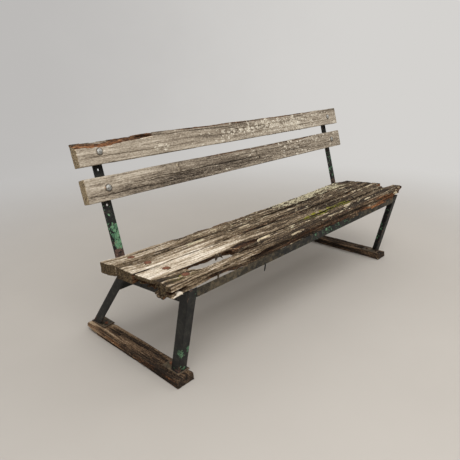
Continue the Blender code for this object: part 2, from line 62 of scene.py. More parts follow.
ahead = Vector((math.cos(TURN) * math.cos(TILT), math.sin(TURN) * math.cos(TILT), -math.sin(TILT)))
level = Vector((math.sin(TURN), -math.cos(TURN), 0.0))
above = level.cross(ahead)
right = math.cos(ROLL) * level + math.sin(ROLL) * above
up = math.cos(ROLL) * above - math.sin(ROLL) * level

lens = bpy.data.cameras.new("camera")
lens.sensor_width = 36.0
lens.lens = lens.sensor_width * FOCAL_PIXELS / PICTURE_SIDE
camera = bpy.data.objects.new("camera", lens)
bpy.context.scene.collection.objects.link(camera)
camera.matrix_world = Matrix.Translation(CAMERA_PLACE) @ Matrix((right, up, -ahead)).transposed().to_4x4()
bpy.context.scene.camera = camera
print(f"lens {lens.lens:.2f} mm")

# %% [markdown]
# ## A small language for materials
# Node trees are easier to read as sums. `Socket` wraps one output of a node, so that
# `1 - mask` adds a Math node, and `Nodes.node` makes any other node from its type, its
# settings and what goes into its sockets. `Finish` adds noise, flecks and colour ramps.


# %% Colours and sockets
def colour(red, green, blue):
    """A colour as a paint chart gives it, from 0 to 255, made linear for the shader."""
    shares = (red / 255, green / 255, blue / 255)
    return (*(s / 12.92 if s < 0.04045 else ((s + 0.055) / 1.055) ** 2.4 for s in shares), 1.0)


class Socket:
    """An output of a node that takes part in sums."""

    def __init__(self, finish, output):
        self.finish = finish
        self.output = output

    def __add__(self, other):
        return self.finish.maths("ADD", self, other)

    def __sub__(self, other):
        return self.finish.maths("SUBTRACT", self, other)

    def __rsub__(self, other):
        return self.finish.maths("SUBTRACT", other, self)

    def __mul__(self, other):
        return self.finish.maths("MULTIPLY", self, other)

    __radd__ = __add__
    __rmul__ = __mul__


print("pale plaster in linear light:", [round(c, 3) for c in colour(194, 188, 180)])


# %% A material of nodes
class Nodes:
    """A material whose nodes are added one by one."""

    def __init__(self, name):
        self.material = bpy.data.materials.new(name)
        self.material.use_nodes = True
        self.tree = self.material.node_tree
        self.shader = self.tree.nodes["Principled BSDF"]
        self.place = self.node("ShaderNodeTexCoord", out="Object")

    def node(self, kind, settings=None, inputs=None, out=0):
        node = self.tree.nodes.new(kind)
        for key, value in (settings or {}).items():
            if key == "stops":
                ramp = node.color_ramp
                while len(ramp.elements) < len(value):
                    ramp.elements.new(0.5)
                for element, (position, shade) in zip(ramp.elements, value):
                    element.position = position
                    element.color = shade
            else:
                setattr(node, key, value)
        for key, value in (inputs or {}).items():
            self.feed(node.inputs[key], value)
        return Socket(self, node.outputs[out])

    def feed(self, socket, value):
        if isinstance(value, Socket):
            self.tree.links.new(value.output, socket)
        else:
            socket.default_value = value

    def maths(self, operation, first, second):
        return self.node("ShaderNodeMath", {"operation": operation}, {0: first, 1: second})

    def attribute(self, name):
        return self.node("ShaderNodeAttribute", {"attribute_name": name}, out="Fac")

    def bump(self, height, strength, distance):
        inputs = {"Height": height, "Strength": strength, "Distance": distance}
        return self.node("ShaderNodeBump", None, inputs, out="Normal")

    def surface(self, **inputs):
        """Feed the shader's sockets, with spaces in their names written as underscores."""
        for name, value in inputs.items():
            self.feed(self.shader.inputs[name.replace("_", " ")], value)
        return self.material


print("a material's own actions:", ", ".join(name for name in vars(Nodes) if not name.startswith("_")))


# %% Patterns and colours
class Finish(Nodes):
    """A material with the patterns and colours of worn things."""

    def mapped(self, scale, shift):
        """The place on the surface, stretched and moved."""
        inputs = {"Vector": self.place, "Scale": scale, "Location": (shift, shift, shift)}
        return self.node("ShaderNodeMapping", None, inputs)

    def noise(self, scale, detail=3.0, roughness=0.6, shift=0.0):
        """Soft random values around a half; scale is in lumps per metre along X, Y and Z."""
        inputs = {"Vector": self.mapped(scale, shift), "Scale": 1.0, "Detail": detail, "Roughness": roughness}
        return self.node("ShaderNodeTexNoise", None, inputs)

    def flecks(self, room, density, shift=0.0):
        """Separate ragged spots: room is the space of one along X, Y and Z, density what they cover."""
        spot = self.mapped(tuple(1 / r for r in room), shift)
        away = self.node("ShaderNodeTexVoronoi", None, {"Vector": spot, "Scale": 1.0}, out="Distance")
        cell = Socket(self, away.output.node.outputs["Color"])
        chance = self.node("ShaderNodeSeparateColor", None, {"Color": cell})
        rim = self.noise(tuple(2.6 / r for r in room), 3.0, 0.65, shift) - 0.5
        return self.step(density * 1.15 - chance - away * 0.9 + rim * 0.9, 0.0, 0.10)

    def vector(self, operation, other):
        """One number from the place on the surface and another place or direction."""
        inputs = {0: self.place, 1: other}
        return self.node("ShaderNodeVectorMath", {"operation": operation}, inputs, out="Value")

    def step(self, value, low, high):
        """0 below low, 1 above high and a smooth rise between."""
        inputs = {"Value": value, "From Min": low, "From Max": high}
        return self.node("ShaderNodeMapRange", {"interpolation_type": "SMOOTHSTEP"}, inputs)

    def ramp(self, value, stops):
        """Colours along a value; a stop is its place and a colour of the paint chart."""
        stops = [(position, colour(*shade)) for position, shade in stops]
        return self.node("ShaderNodeValToRGB", {"stops": stops}, {"Fac": value})

    def mix(self, share, *shades):
        """A share of the second colour in the first; either may come from the paint chart."""
        first, second = (s if isinstance(s, Socket) else colour(*s) for s in shades)
        settings = {"data_type": "RGBA", "clamp_factor": True}
        return self.node("ShaderNodeMix", settings, {0: share, 6: first, 7: second}, out=2)


print("patterns and colours:", ", ".join(name for name in vars(Finish) if not name.startswith("_")))

# %% [markdown]
# ## The studio
# The bench stands on a pale floor that sweeps up into a wall all round, so there is no edge
# behind it from any side. A profile of a few vertices, spun about the vertical, makes the
# sweep. Two large soft lamps and an even sky light the bench at a plain level.

# %% Floor and backdrop
FLOOR_RADIUS = 4.2
SWEEP_RADIUS = 1.6
WALL_HEIGHT = 4.5
SWEEP_STEPS = 12
ROUND_STEPS = 96


def spun(outline, steps):
    """A body turned about Z from its outline, a list of radius and height."""
    bm = bmesh.new()
    verts = [bm.verts.new((radius, 0.0, height)) for radius, height in outline]
    geom = verts + [bm.edges.new(pair) for pair in zip(verts, verts[1:])]
    axis = {"cent": (0, 0, 0), "axis": (0, 0, 1)}
    bmesh.ops.spin(bm, geom=geom, angle=math.tau, steps=steps, use_merge=True, **axis)
    return bm


profile = [(0.0, 0.0), (FLOOR_RADIUS, 0.0)]
for i in range(SWEEP_STEPS):
    angle = (i + 1) / SWEEP_STEPS * math.pi / 2
    profile.append((FLOOR_RADIUS + SWEEP_RADIUS * math.sin(angle), SWEEP_RADIUS * (1 - math.cos(angle))))
bm = spun(profile + [(FLOOR_RADIUS + SWEEP_RADIUS, WALL_HEIGHT)], ROUND_STEPS)
bmesh.ops.remove_doubles(bm, verts=bm.verts, dist=1e-5)
bmesh.ops.recalc_face_normals(bm, faces=bm.faces)
outward = [f for f in bm.faces if f.normal.z < -1e-4 or f.normal.dot(f.calc_center_median()) > 1e-3]
bmesh.ops.reverse_faces(bm, faces=outward)
floor_mesh = bpy.data.meshes.new("studio_floor")
bm.to_mesh(floor_mesh)
bm.free()
floor_mesh.shade_smooth()
studio_floor = bpy.data.objects.new("studio_floor", floor_mesh)
bpy.context.scene.collection.objects.link(studio_floor)
print(f"floor of {len(floor_mesh.polygons)} faces")

# %% Plaster
TO_THE_RIGHT = (0.68, -0.73, 0.0)
plaster = Finish("studio_plaster")
smudge = plaster.noise((1.1, 1.1, 1.1), detail=4.0)
plaster.surface(Base_Color=plaster.mix(smudge, (184, 178, 170), (194, 188, 180)), Roughness=0.75)
# Painted light: seen from the camera, floor and wall far from the bench glow with this colour instead of taking the
# lamps' light, darker on one side of the room and brighter on the other.
aside = plaster.vector("DOT_PRODUCT", TO_THE_RIGHT)
wall_light_gradient = plaster.mix(plaster.step(aside + smudge, -3.0, 2.5), (188, 186, 184), (212, 210, 207))
glow = plaster.node("ShaderNodeEmission", None, {"Color": wall_light_gradient, "Strength": 1.0})
sight = plaster.node("ShaderNodeLightPath", out="Is Camera Ray")
far = plaster.step(plaster.vector("DISTANCE", (0.0, 0.0, 0.0)), 0.9, 3.6)
lit = Socket(plaster, plaster.shader.outputs[0])
shown = plaster.node("ShaderNodeMixShader", None, {0: far * sight, 1: lit, 2: glow})
plaster.feed(plaster.tree.nodes["Material Output"].inputs["Surface"], shown)
studio_floor.data.materials.append(plaster.material)
print("floor finish:", plaster.material.name)


# %% Lamps and sky
def soft_lamp(name, place, target, size, power):
    data = bpy.data.lights.new(name, "AREA")
    data.shape = "SQUARE"
    data.size = size
    data.energy = power
    lamp = bpy.data.objects.new(name, data)
    bpy.context.scene.collection.objects.link(lamp)
    lamp.location = place
    lamp.rotation_euler = (Vector(target) - Vector(place)).to_track_quat("-Z", "Y").to_euler()


soft_lamp("key_lamp", (-1.8, -2.2, 3.6), (0.0, 0.0, 0.4), 2.8, 112.0)
soft_lamp("fill_lamp", (2.4, -1.6, 3.4), (0.0, 0.0, 0.4), 2.8, 32.0)
sky = bpy.data.worlds.new("sky")
sky.use_nodes = True
dome = sky.node_tree.nodes["Background"].inputs
dome["Color"].default_value = (1.0, 1.0, 1.0, 1.0)
dome["Strength"].default_value = 0.75
bpy.context.scene.world = sky
bpy.context.scene.view_settings.view_transform = "Standard"
print("lamps:", [lamp.name for lamp in bpy.data.lights])

# %% [markdown]
# ## Weathered wood
# Rain washes the colour out of old timber and leaves silver fibres with dark lines between
# them; rot shows red-brown, and lichen and moss settle on top. Where each of these grows is
# worked out when a timber is carved and kept as an attribute on its mesh. The shader reads
# the attributes and adds the fibres, which are noise drawn out along the grain.

# %% The wood finish
# The second mask darkens the colour: dark knots and dirt, and painted shade in cracks, hollows and round bolt heads.
MASKS = ("tone", "groove", "rot", "fresh", "end", "pale", "lichen", "moss")


def weathered_wood(name, along, shades, end_shades, lichen_shades, lichen_sizes, contrast):
    """Wood with its grain along one axis; shades run from its dark lines to its bleached face."""
    wood = Finish(name)

    def room(length, width):
        return tuple(length if axis == along else width for axis in "XYZ")

    def grain(length, width, detail, shift=0.0):
        return wood.noise(tuple(1 / r for r in room(length, width)), detail, 0.62, shift) - 0.5

    def growth(density, sizes, shift):
        shares = [wood.flecks(room(*size), density, shift + i) for i, size in enumerate(sizes)]
        return wood.maths("MAXIMUM", *shares)

    fibre = grain(0.040, 0.0024, 5.0)
    streak = grain(0.15, 0.009, 4.0, 3.7)
    blotch = grain(0.30, 0.030, 3.0, 8.1)
    crumb = grain(0.010, 0.005, 4.0, 1.3)
    spot = grain(0.008, 0.006, 3.0, 6.2)
    tone, groove, rot, fresh, end, pale, lichen, moss = (wood.attribute(mask) for mask in MASKS)
    lines = (fibre * 1.3 + streak * 0.9 + blotch * 0.6 + crumb * 1.3) * contrast
    # Here and in the ramps below, the second mask darkens the colour: knot colour and dirt, with painted shade in
    # cracks and hollows.
    level = tone * 0.9 + 0.05 + lines * (1.3 - tone * 0.72) - groove * (tone * 0.40 + 0.42)
    face = wood.ramp(level, [(i / (len(shades) - 1), shade) for i, shade in enumerate(shades)])
    end_level = crumb * 1.5 + spot + 0.5 - groove * 0.3
    face = wood.mix(end, face, wood.ramp(end_level, zip((0.15, 0.50, 0.85), end_shades)))
    rotten = wood.ramp(fibre * 1.5 + crumb * 1.2 + 0.5 - groove * 0.3, [
        (0.15, (30, 21, 15)), (0.50, (82, 56, 38)), (0.85, (142, 106, 72)),
    ])
    face = wood.mix(wood.step(rot + blotch * 0.8 + crumb * 0.6, 0.30, 0.70), face, rotten)
    heart = wood.ramp(fibre * 1.8 + streak * 1.8 + crumb * 0.8 + 0.5 - groove * 0.3, [
        (0.10, (42, 28, 20)), (0.42, (92, 60, 38)), (0.66, (142, 94, 58)), (0.95, (196, 150, 108)),
    ])
    face = wood.mix(wood.step(fresh + streak * 0.9 + crumb * 0.7, 0.30, 0.66), face, heart)
    shard = wood.ramp(fibre * 1.4 + crumb * 0.8 + 0.5, [
        (0.20, (140, 124, 97)), (0.50, (196, 180, 150)), (0.85, (232, 219, 194)),
    ])
    face = wood.mix(growth(pale, ((0.080, 0.010), (0.030, 0.006)), 9.4), face, shard)
    face = wood.mix(moss * 0.35, face, (112, 106, 60))
    crust = wood.mix(wood.step(crumb + spot * 0.5, -0.14, 0.14), *lichen_shades)
    crusted = growth(lichen, lichen_sizes, 2.2)
    face = wood.mix(crusted, face, crust)
    green = wood.ramp(crumb + 0.5, [(0.30, (44, 44, 14)), (0.50, (100, 98, 26)), (0.72, (168, 160, 58))])
    mossy = growth(moss, ((0.030, 0.009), (0.010, 0.006)), 5.7)
    face = wood.mix(mossy, face, green)
    crumbly = crumb * (crusted + mossy + rot + end + 0.4)
    relief = fibre * 0.8 + streak * 0.5 + crumbly * 0.7 + crusted * 0.15
    return wood.surface(
        Base_Color=face,
        Roughness=fibre * 0.3 + 0.86,
        Specular_IOR_Level=0.22,
        Normal=wood.bump(relief, 0.75, 0.0022),
    )


# %% Three woods
seat_wood = weathered_wood(
    "seat_wood", "X",
    [(42, 33, 25), (80, 66, 50), (119, 101, 78), (162, 145, 122), (216, 202, 181), (240, 231, 216)],
    [(46, 37, 27), (92, 77, 56), (138, 120, 91)],
    ((134, 125, 97), (213, 204, 175)), ((0.032, 0.013), (0.014, 0.007)), 1.15,
)
slat_wood = weathered_wood(
    "slat_wood", "X",
    [(54, 46, 39), (92, 82, 70), (130, 118, 103), (164, 152, 135), (192, 181, 164), (214, 205, 190)],
    [(80, 68, 52), (156, 139, 112), (206, 190, 160)],
    ((178, 167, 148), (226, 218, 202)), ((0.030, 0.018), (0.012, 0.010)), 0.95,
)
skid_wood = weathered_wood(
    "skid_wood", "Y",
    [(36, 28, 22), (74, 58, 44), (110, 88, 67), (144, 119, 93), (172, 149, 121), (194, 174, 147)],
    [(30, 24, 19), (66, 52, 40), (106, 88, 68)],
    ((88, 76, 58), (146, 128, 98)), ((0.030, 0.013), (0.012, 0.008)), 1.15,
)
print("wood finishes:", seat_wood.name, slat_wood.name, skid_wood.name)

# %% [markdown]
# ## Carving a timber
# A sawn timber is a block, so each one starts as a cube cut into small squares by
# `subdivide_edges`. Weather does the rest: the same few actions move the vertices of every
# timber. Edges are worn round, rot eats in from an edge, a broken corner is shaved to a
# plane, cracks open along the grain and the soft wood between the hard rings washes out.
# Smooth random numbers on a lattice, stretched along the grain, make each action uneven.


# %% Smooth random numbers
def lattice(corner, seed):
    """A fixed random number from 0 to 1 for each corner of a lattice."""
    wave = np.sin(corner @ np.array([127.1, 311.7, 74.7]) + seed * 53.3) * 43758.5453
    return wave - np.floor(wave)


def lumps(points, size, seed):
    """Smooth values from 0 to 1; size is the length of one lump along X, Y and Z."""
    spot = points / np.array(size)
    base = np.floor(spot)
    share = spot - base
    share = share * share * (3 - 2 * share)
    total = np.zeros(len(points))
    for corner in itertools.product((0.0, 1.0), repeat=3):
        weight = np.prod(np.where(corner, share, 1 - share), axis=1)
        total += weight * lattice(base + corner, seed)
    return total


def ease(value, low, high):
    """0 below low, 1 above high and a smooth rise between."""
    share = np.clip((value - low) / (high - low), 0.0, 1.0)
    return share * share * (3 - 2 * share)


def band(value, limits, fade):
    """1 between two limits, fading out past them."""
    low, high = limits
    return ease(value, low - fade, low + fade) * ease(-value, -high - fade, fade - high)


def ridge(value):
    """1 where a smooth value crosses its middle, falling away on both sides."""
    return 1 - np.abs(2 * value - 1)


print("a lump at the origin:", lumps(np.zeros((1, 3)), (1.0, 1.0, 1.0), 1.0).round(3))


# %% Pieces of the bench
def keep_values(mesh, name, values):
    """Keep a value from 0 to 1 at each vertex of a mesh."""
    layer = mesh.attributes.new(name, "FLOAT", "POINT")
    layer.data.foreach_set("value", np.clip(values, 0.0, 1.0).astype(np.float32))


def as_piece(name, mesh, material, nodes, sharp):
    """Shade a mesh and link it as a piece that stands in for packed nodes, if it has any."""
    mesh.materials.clear()
    mesh.materials.append(material)
    mesh.shade_smooth()
    mesh.set_sharp_from_angle(angle=math.radians(sharp))
    piece = bpy.data.objects.new(name, mesh)
    bpy.context.scene.collection.objects.link(piece)
    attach(piece, "root")
    if nodes:
        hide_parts(*nodes)
    return piece


print(len(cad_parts), "packed pieces to stand in for")

# %% A block and its stains
EDGE_RADII = (0.002, 0.005)
TIMBER_CREASE = 55


class Block:
    """A block along X, its width along Y and its worn face towards +Z, with a mask per stain."""

    def __init__(self, name, size, cells, seed):
        self.name = name
        self.seed = seed
        self.half = np.array(size) / 2
        bm = bmesh.new()
        bmesh.ops.create_cube(bm, size=2.0)
        for axis, count in enumerate(cells):
            edges = [e for e in bm.edges if abs(e.verts[0].co[axis] - e.verts[1].co[axis]) > 1e-6]
            bmesh.ops.subdivide_edges(bm, edges=edges, cuts=count - 1, use_grid_fill=True)
        self.mesh = bpy.data.meshes.new(name)
        bm.to_mesh(self.mesh)
        bm.free()
        flat = np.empty(len(self.mesh.vertices) * 3)
        self.mesh.vertices.foreach_get("co", flat)
        share = flat.reshape(-1, 3)
        self.rest = share * self.half
        self.points = self.rest.copy()
        self.x = self.rest[:, 0]
        self.v = share[:, 1]
        self.w = share[:, 2]
        self.loss = np.zeros(len(share))
        self.mask = {name: np.zeros(len(share)) for name in MASKS}
        self.mask["end"] = (np.abs(share[:, 0]) > 1 - 1e-4).astype(float)
        self.round_edges(*EDGE_RADII)

    def lumps(self, length, width, shift=0.0, points=None):
        """Smooth random values of this block, at its own points or at bent ones."""
        points = self.rest if points is None else points
        return lumps(points, (length, width, width), self.seed + shift)

    def round_edges(self, least, most):
        """Turn the sawn edges to a radius that changes along the timber."""
        radius = (least + (most - least) * self.lumps(0.11, 0.2, 0.1))[:, None]
        inner = self.half - radius
        past = np.maximum(np.abs(self.points) - inner, 0.0)
        self.normal = np.sign(self.points) * past / np.linalg.norm(past, axis=1, keepdims=True)
        self.points = np.sign(self.points) * np.minimum(np.abs(self.points), inner) + self.normal * radius

    def within(self, x_range, v_range, x_fade=0.02, v_fade=0.15):
        """1 inside a stretch of the worn face, fading out round it."""
        return band(self.x, x_range, x_fade) * band(self.v, v_range, v_fade)

    def stain(self, mask, amount):
        self.mask[mask] = np.maximum(self.mask[mask], amount)

    def grow(self, mask, share, lump, *stretch):
        """Stain a stretch unevenly: share is the least and what lumps of a length, width and shift add."""
        self.stain(mask, (share[0] + share[1] * self.lumps(*lump)) * self.within(*stretch))

    def place_in(self, matrix, material, slot, nodes=()):
        """Put the carved points in the mesh and stand the timber in for its packed piece."""
        spots = np.c_[self.points, np.ones(len(self.points))] @ np.array(matrix).T
        self.mesh.vertices.foreach_set("co", spots[:, :3].astype(np.float32).ravel())
        for name, values in self.mask.items():
            keep_values(self.mesh, name, values)
        self.mesh.update()
        print(f"{self.name}: {len(self.mesh.polygons)} faces")
        return as_piece(self.name, self.mesh, material, nodes, TIMBER_CREASE)


print("stains of a block:", ", ".join(MASKS))


# %% Lost wood
class WornBlock(Block):
    """A block that loses wood at its edges and ends and off its face."""

    def fray(self, side, depth):
        """Tear small bites out of a long edge."""
        torn = ease(self.lumps(0.055, 0.02, 6.3), 0.35, 0.9) + 0.5 * self.lumps(0.016, 0.008, 6.8)
        weight = np.clip((side * self.v - 0.4) / 0.6, 0.0, 1.0) * ease(self.half[0] - np.abs(self.x), 0.0, 0.15)
        self.points[:, 1] -= side * depth * torn * weight

    def rot_edge(self, side, centre, reach, depth, ragged=0.5, start=-0.3, upper=False, flat=2):
        """Eat in from the front (-1) or back (1) edge, over the whole edge or its upper half."""
        fall = np.clip(1 - np.abs((self.x - centre) / reach) ** flat, 0.0, 1.0)
        torn = self.lumps(0.035, 0.012, 2.3) + self.lumps(0.11, 0.02, 2.9) + 0.6 * self.lumps(0.013, 0.006, 2.6)
        torn = 1 + ragged * (torn - 1.3)
        weight = np.clip((side * self.v - start) / (1 - start), 0.0, 1.0)
        if upper:
            weight = weight * np.clip(0.5 + 0.5 * self.w, 0.0, 1.0)
        self.points[:, 1] -= side * depth * fall * torn * weight
        self.stain("rot", ease(fall, 0.05, 0.5) * ease(weight, 0.80, 0.97))

    def shave(self, point, slope, lift, mask="rot", strength=1.0):
        """Break wood away past a plane at a slope; point is (across, through), lift raises it along X."""
        across, through = math.cos(slope), math.sin(slope)
        past = (self.points[:, 1] - point[0]) * across + (self.points[:, 2] - point[1]) * through - lift
        cut = np.maximum(past, 0.0)
        self.points[:, 1] -= across * cut
        self.points[:, 2] -= through * cut
        self.normal[cut > 0] = (0.0, across, through)
        self.stain(mask, strength * ease(past, 0.0003, 0.002))

    def hollow(self, x_range, v_range, depth, mask=None, x_fade=0.03, v_fade=0.25):
        """Sink the worn face over a stretch, more at its middle than at its rim."""
        sunk = self.within(x_range, v_range, x_fade, v_fade) * (0.55 + 0.9 * self.lumps(0.04, 0.012, 4.1))
        self.points[:, 2] -= depth * sunk * (0.5 + 0.5 * self.w)
        if mask:
            self.stain(mask, ease(sunk, 0.15, 0.6) * ease(self.w, -0.8, 0.2))

    def break_end(self, side, zone, depth, low_depth=0.0, below=0.2, where=1.0, rot=0.8):
        """Crumble an end (-1 left, 1 right), by low_depth more below a level and where a share says so."""
        torn = 0.25 + 0.9 * self.lumps(0.5, 0.010, 7.7) * self.lumps(0.5, 0.03, 7.1) * 2
        lost = (depth + low_depth * ease(-self.w, -below - 0.15, 0.15 - below) * where) * torn
        near = np.clip((side * self.x - (self.half[0] - zone)) / zone, 0.0, 1.0)
        self.points[:, 0] -= side * lost * near
        self.stain("rot", near ** 3 * ease(lost, 0.006, 0.016) * rot)

    def lift(self, x_range, height):
        """Raise the worn face of one end, between two places along X."""
        share = ease(-self.x, -x_range[1], -x_range[0]) * np.clip((self.w + 1) / 2, 0.0, 1.0)
        self.points[:, 2] += height * share


print("wood is lost by:", ", ".join(name for name in vars(WornBlock) if not name.startswith("_")))


# %% Splits and weather
class Timber(WornBlock):
    """A block that has also split and weathered."""

    def crack(self, start, end, width, depth, stain=1.0):
        """Open a split along the worn face, from one (x, v) to another."""
        share = (self.x - start[0]) / (end[0] - start[0])
        open_part = np.sqrt(np.clip(4 * share * (1 - share), 0.0, 1.0))
        middle = start[1] + (end[1] - start[1]) * share + 0.10 * (self.lumps(0.09, 1.0, 5.0 + depth) - 0.5)
        off = np.abs(self.v - middle) * self.half[1]
        split = open_part * np.clip(1.25 - off / width, 0.0, 1.0) * ease(self.normal[:, 2], 0.3, 0.8)
        self.loss += depth * split
        # The split is darkened as well: painted shade in the crack, with its dirt.
        self.stain("groove", stain * split)

    def cracks(self, splits, stain=1.0):
        for split in splits:
            self.crack(*split, stain)

    def weather(self, depth, bolts, stain=1.0, proud=0.6):
        """Wash out the soft wood, but not under a bolt's head; bolts are places along and across."""
        bent = self.rest + np.array([0.0, 1.0, 1.0]) * (0.006 * (self.lumps(0.35, 0.06, 6.1) - 0.5))[:, None]
        patch = 0.35 + 1.1 * self.lumps(0.25, 0.04, 1.9, bent)
        split = ridge(self.lumps(0.60, 0.014, 3.3, bent)) ** 5
        thin_split = ridge(self.lumps(0.30, 0.008, 4.4, bent)) ** 4
        fine = self.lumps(0.14, 0.0042, 5.5, bent)
        swell = self.lumps(0.24, 0.035, 6.6, bent)
        flake = ease(self.lumps(0.085, 0.013, 7.7, bent), 0.50, 0.58)
        gouge = ease(self.lumps(0.17, 0.010, 8.3, bent), 0.66, 0.74) * patch
        flaky = ease(self.lumps(0.30, 0.05, 8.8), 0.45, 0.75)
        worn = 0.5 * swell + (split + 0.5 * thin_split) * patch
        worn += 0.40 * fine + 0.7 * flake * flaky + 0.9 * gouge
        firm = 0.25 + 0.75 * ease(self.half[0] - np.abs(self.x), 0.0, 0.09)
        rough = 0.0045 * ridge(self.lumps(0.05, 0.008, 9.9)) ** 2 + 0.0020 * self.lumps(0.018, 0.005, 9.1)
        rough *= self.mask["rot"]
        keep = np.ones(len(self.x))
        for along, across in bolts:
            far = np.hypot(self.x - along, self.rest[:, 1] - across)
            keep *= ease(far, 0.011, 0.024)
            # A dark ring round each bolt head: painted shade of the gap under the head, with rust.
            bolt_shade_ring = ease(far, 0.0105, 0.0125) * ease(-far, -0.0175, -0.0135)
            self.stain("groove", 0.8 * bolt_shade_ring * (self.w > 0.5))
        # Splits, flakes and gouges, sunk below, are darkened: painted shade in them, with dirt.
        dark = 0.75 * split * patch + 0.4 * thin_split * patch + 0.25 * flake * flaky + 0.45 * gouge
        dark *= 1 - 0.45 * ease(self.mask["tone"], 0.7, 1.0)
        self.stain("groove", np.clip(stain * dark, 0.0, 1.0) * keep)
        sides, under = ease(np.abs(self.normal[:, 1]), 0.5, 0.95), ease(-self.normal[:, 2], 0.5, 0.95)
        self.mask["tone"] *= 1 - 0.24 * sides - 0.30 * under
        self.loss += depth * firm * (worn - proud * ease(self.normal[:, 2], -0.15, 0.2)) + rough
        self.loss *= keep
        crust = 0.0034 * ease(self.mask["lichen"], 0.5, 0.9) * ease(self.lumps(0.012, 0.007, 1.1), 0.3, 0.8)
        tuft = 0.0050 * ease(self.mask["moss"], 0.5, 0.9) * (0.3 + self.lumps(0.010, 0.006, 1.2))
        self.loss -= crust + tuft
        self.points -= self.normal * self.loss[:, None]


print("and aged by:", ", ".join(name for name in vars(Timber) if not name.startswith("_")))

# %% [markdown]
# ## The seat
# The planks lie side by side, a little lower at the back, and sag between the frames. Each
# has its own history: the front plank has rotted through along its back edge, the next one is
# bleached pale at its left half, and lichen has grown along the back of the last one.

# %% Sizes of the seat
TIMBER_LENGTH = 1.790
PLANK_SIZE = (TIMBER_LENGTH, 0.098, 0.040)
PLANK_PITCH = 0.1054
PLANK_CELLS = (500, 60, 22)
PLANK_LABELS = ("front", "front_middle", "back_middle", "back")
PLANK_WEAR = 0.0036
FRAY_DEPTH = 0.0025
PLANK_SAG = 0.005
SAG_HALF_SPAN = 0.7677
SEAT_TILT = math.radians(4.7)
BACK_LEAN = math.radians(16.2)
SEAT_FRONT = Vector((0.0, -0.336, 0.40913))
SEAT_BOLT_X = 0.7852
UPRIGHT_X = 0.798
SEAT_PLACE = Matrix.Translation(SEAT_FRONT) @ Matrix.Rotation(-SEAT_TILT, 4, "X")
PLACES = (-0.9, -0.7, -0.5, -0.3, -0.1, 0.1, 0.5, 0.9)
# The least share and what lumps add to it, then the lumps' length, width and shift.
FLECKS = ((0.12, 0.36), (0.16, 0.03, 0.3))
CRUST = ((0.02, 0.34), (0.12, 0.04, 0.8))
print(f"planks of {PLANK_SIZE} m, one every {PLANK_PITCH} m")


# %% Making and laying a plank
def spread(timber, rows):
    """Tone over a timber: rows run from its front or lower edge to the other, a value at each of PLACES."""
    levels = np.array([np.interp(timber.x, PLACES, row) for row in rows])
    spot = np.clip((timber.v + 1) / 2 * (len(rows) - 1), 0.0, len(rows) - 1 - 1e-6)
    low = spot.astype(int)
    share = spot - low
    index = np.arange(len(low))
    return levels[low, index] * (1 - share) + levels[low + 1, index] * share


def toned(name, size, seed, rows):
    """A long timber with its tone spread over it."""
    timber = Timber(name, size, PLANK_CELLS, seed)
    timber.mask["tone"] = spread(timber, rows)
    return timber


def trim_end(timber, side, amount):
    """Set one end back, with the wood near it."""
    near = np.clip((side * timber.x - 0.6 * timber.half[0]) / (0.4 * timber.half[0]), 0.0, 1.0)
    timber.points[:, 0] -= side * amount * near


def sag(timber):
    """How far a plank hangs down between the frames."""
    return PLANK_SAG * np.clip(1 - (timber.x / SAG_HALF_SPAN) ** 2, 0.0, 1.0)


def plank_middle(label):
    """How far the middle of a plank lies back from the seat's front edge."""
    return 0.5 * PLANK_SIZE[1] + PLANK_LABELS.index(label) * PLANK_PITCH


def lay_plank(timber, label):
    """Weather a plank, let it sag and lay it in its place in the seat."""
    timber.fray(-1, FRAY_DEPTH)
    timber.fray(1, FRAY_DEPTH)
    timber.weather(PLANK_WEAR, [(-SEAT_BOLT_X, 0.0), (SEAT_BOLT_X, 0.0)])
    timber.points[:, 2] -= sag(timber)
    place = SEAT_PLACE @ Matrix.Translation((0.0, plank_middle(label), 0.5 * PLANK_SIZE[2]))
    return timber.place_in(place, seat_wood, "weathered_wood", ["seat_plank_" + label])


def chip(timber, spots):
    """Lay pale chips on the worn face, each given by its stretch along and across."""
    for x_range, v_range in spots:
        timber.stain("pale", timber.within(x_range, v_range, 0.012, 0.08) * (timber.w > 0.5))


print("middles of the planks:", [round(plank_middle(label), 4) for label in PLANK_LABELS])

# %% Front plank: lost wood
plank = toned("worn_plank_front", PLANK_SIZE, 11.0, [
    (0.86, 0.86, 0.78, 0.68, 0.52, 0.44, 0.42, 0.50),
    (0.72, 0.64, 0.54, 0.48, 0.40, 0.38, 0.38, 0.48),
    (0.62, 0.50, 0.42, 0.38, 0.34, 0.34, 0.38, 0.46),
    (0.64, 0.56, 0.48, 0.40, 0.34, 0.34, 0.36, 0.42),
])
trim_end(plank, 1, 0.014)
plank.rot_edge(1, -0.612, 0.136, 0.031, ragged=0.7, flat=5)
plank.rot_edge(1, -0.430, 0.090, 0.018, ragged=0.9, upper=True)
plank.rot_edge(-1, 0.200, 0.500, 0.010, ragged=0.8, upper=True)
plank.rot_edge(-1, 0.870, 0.110, 0.012, ragged=0.5)
plank.rot_edge(1, 0.900, 0.110, 0.026, ragged=0.4, start=0.0)
plank.hollow((-0.490, -0.380), (0.05, 1.1), 0.026, "rot", 0.035)
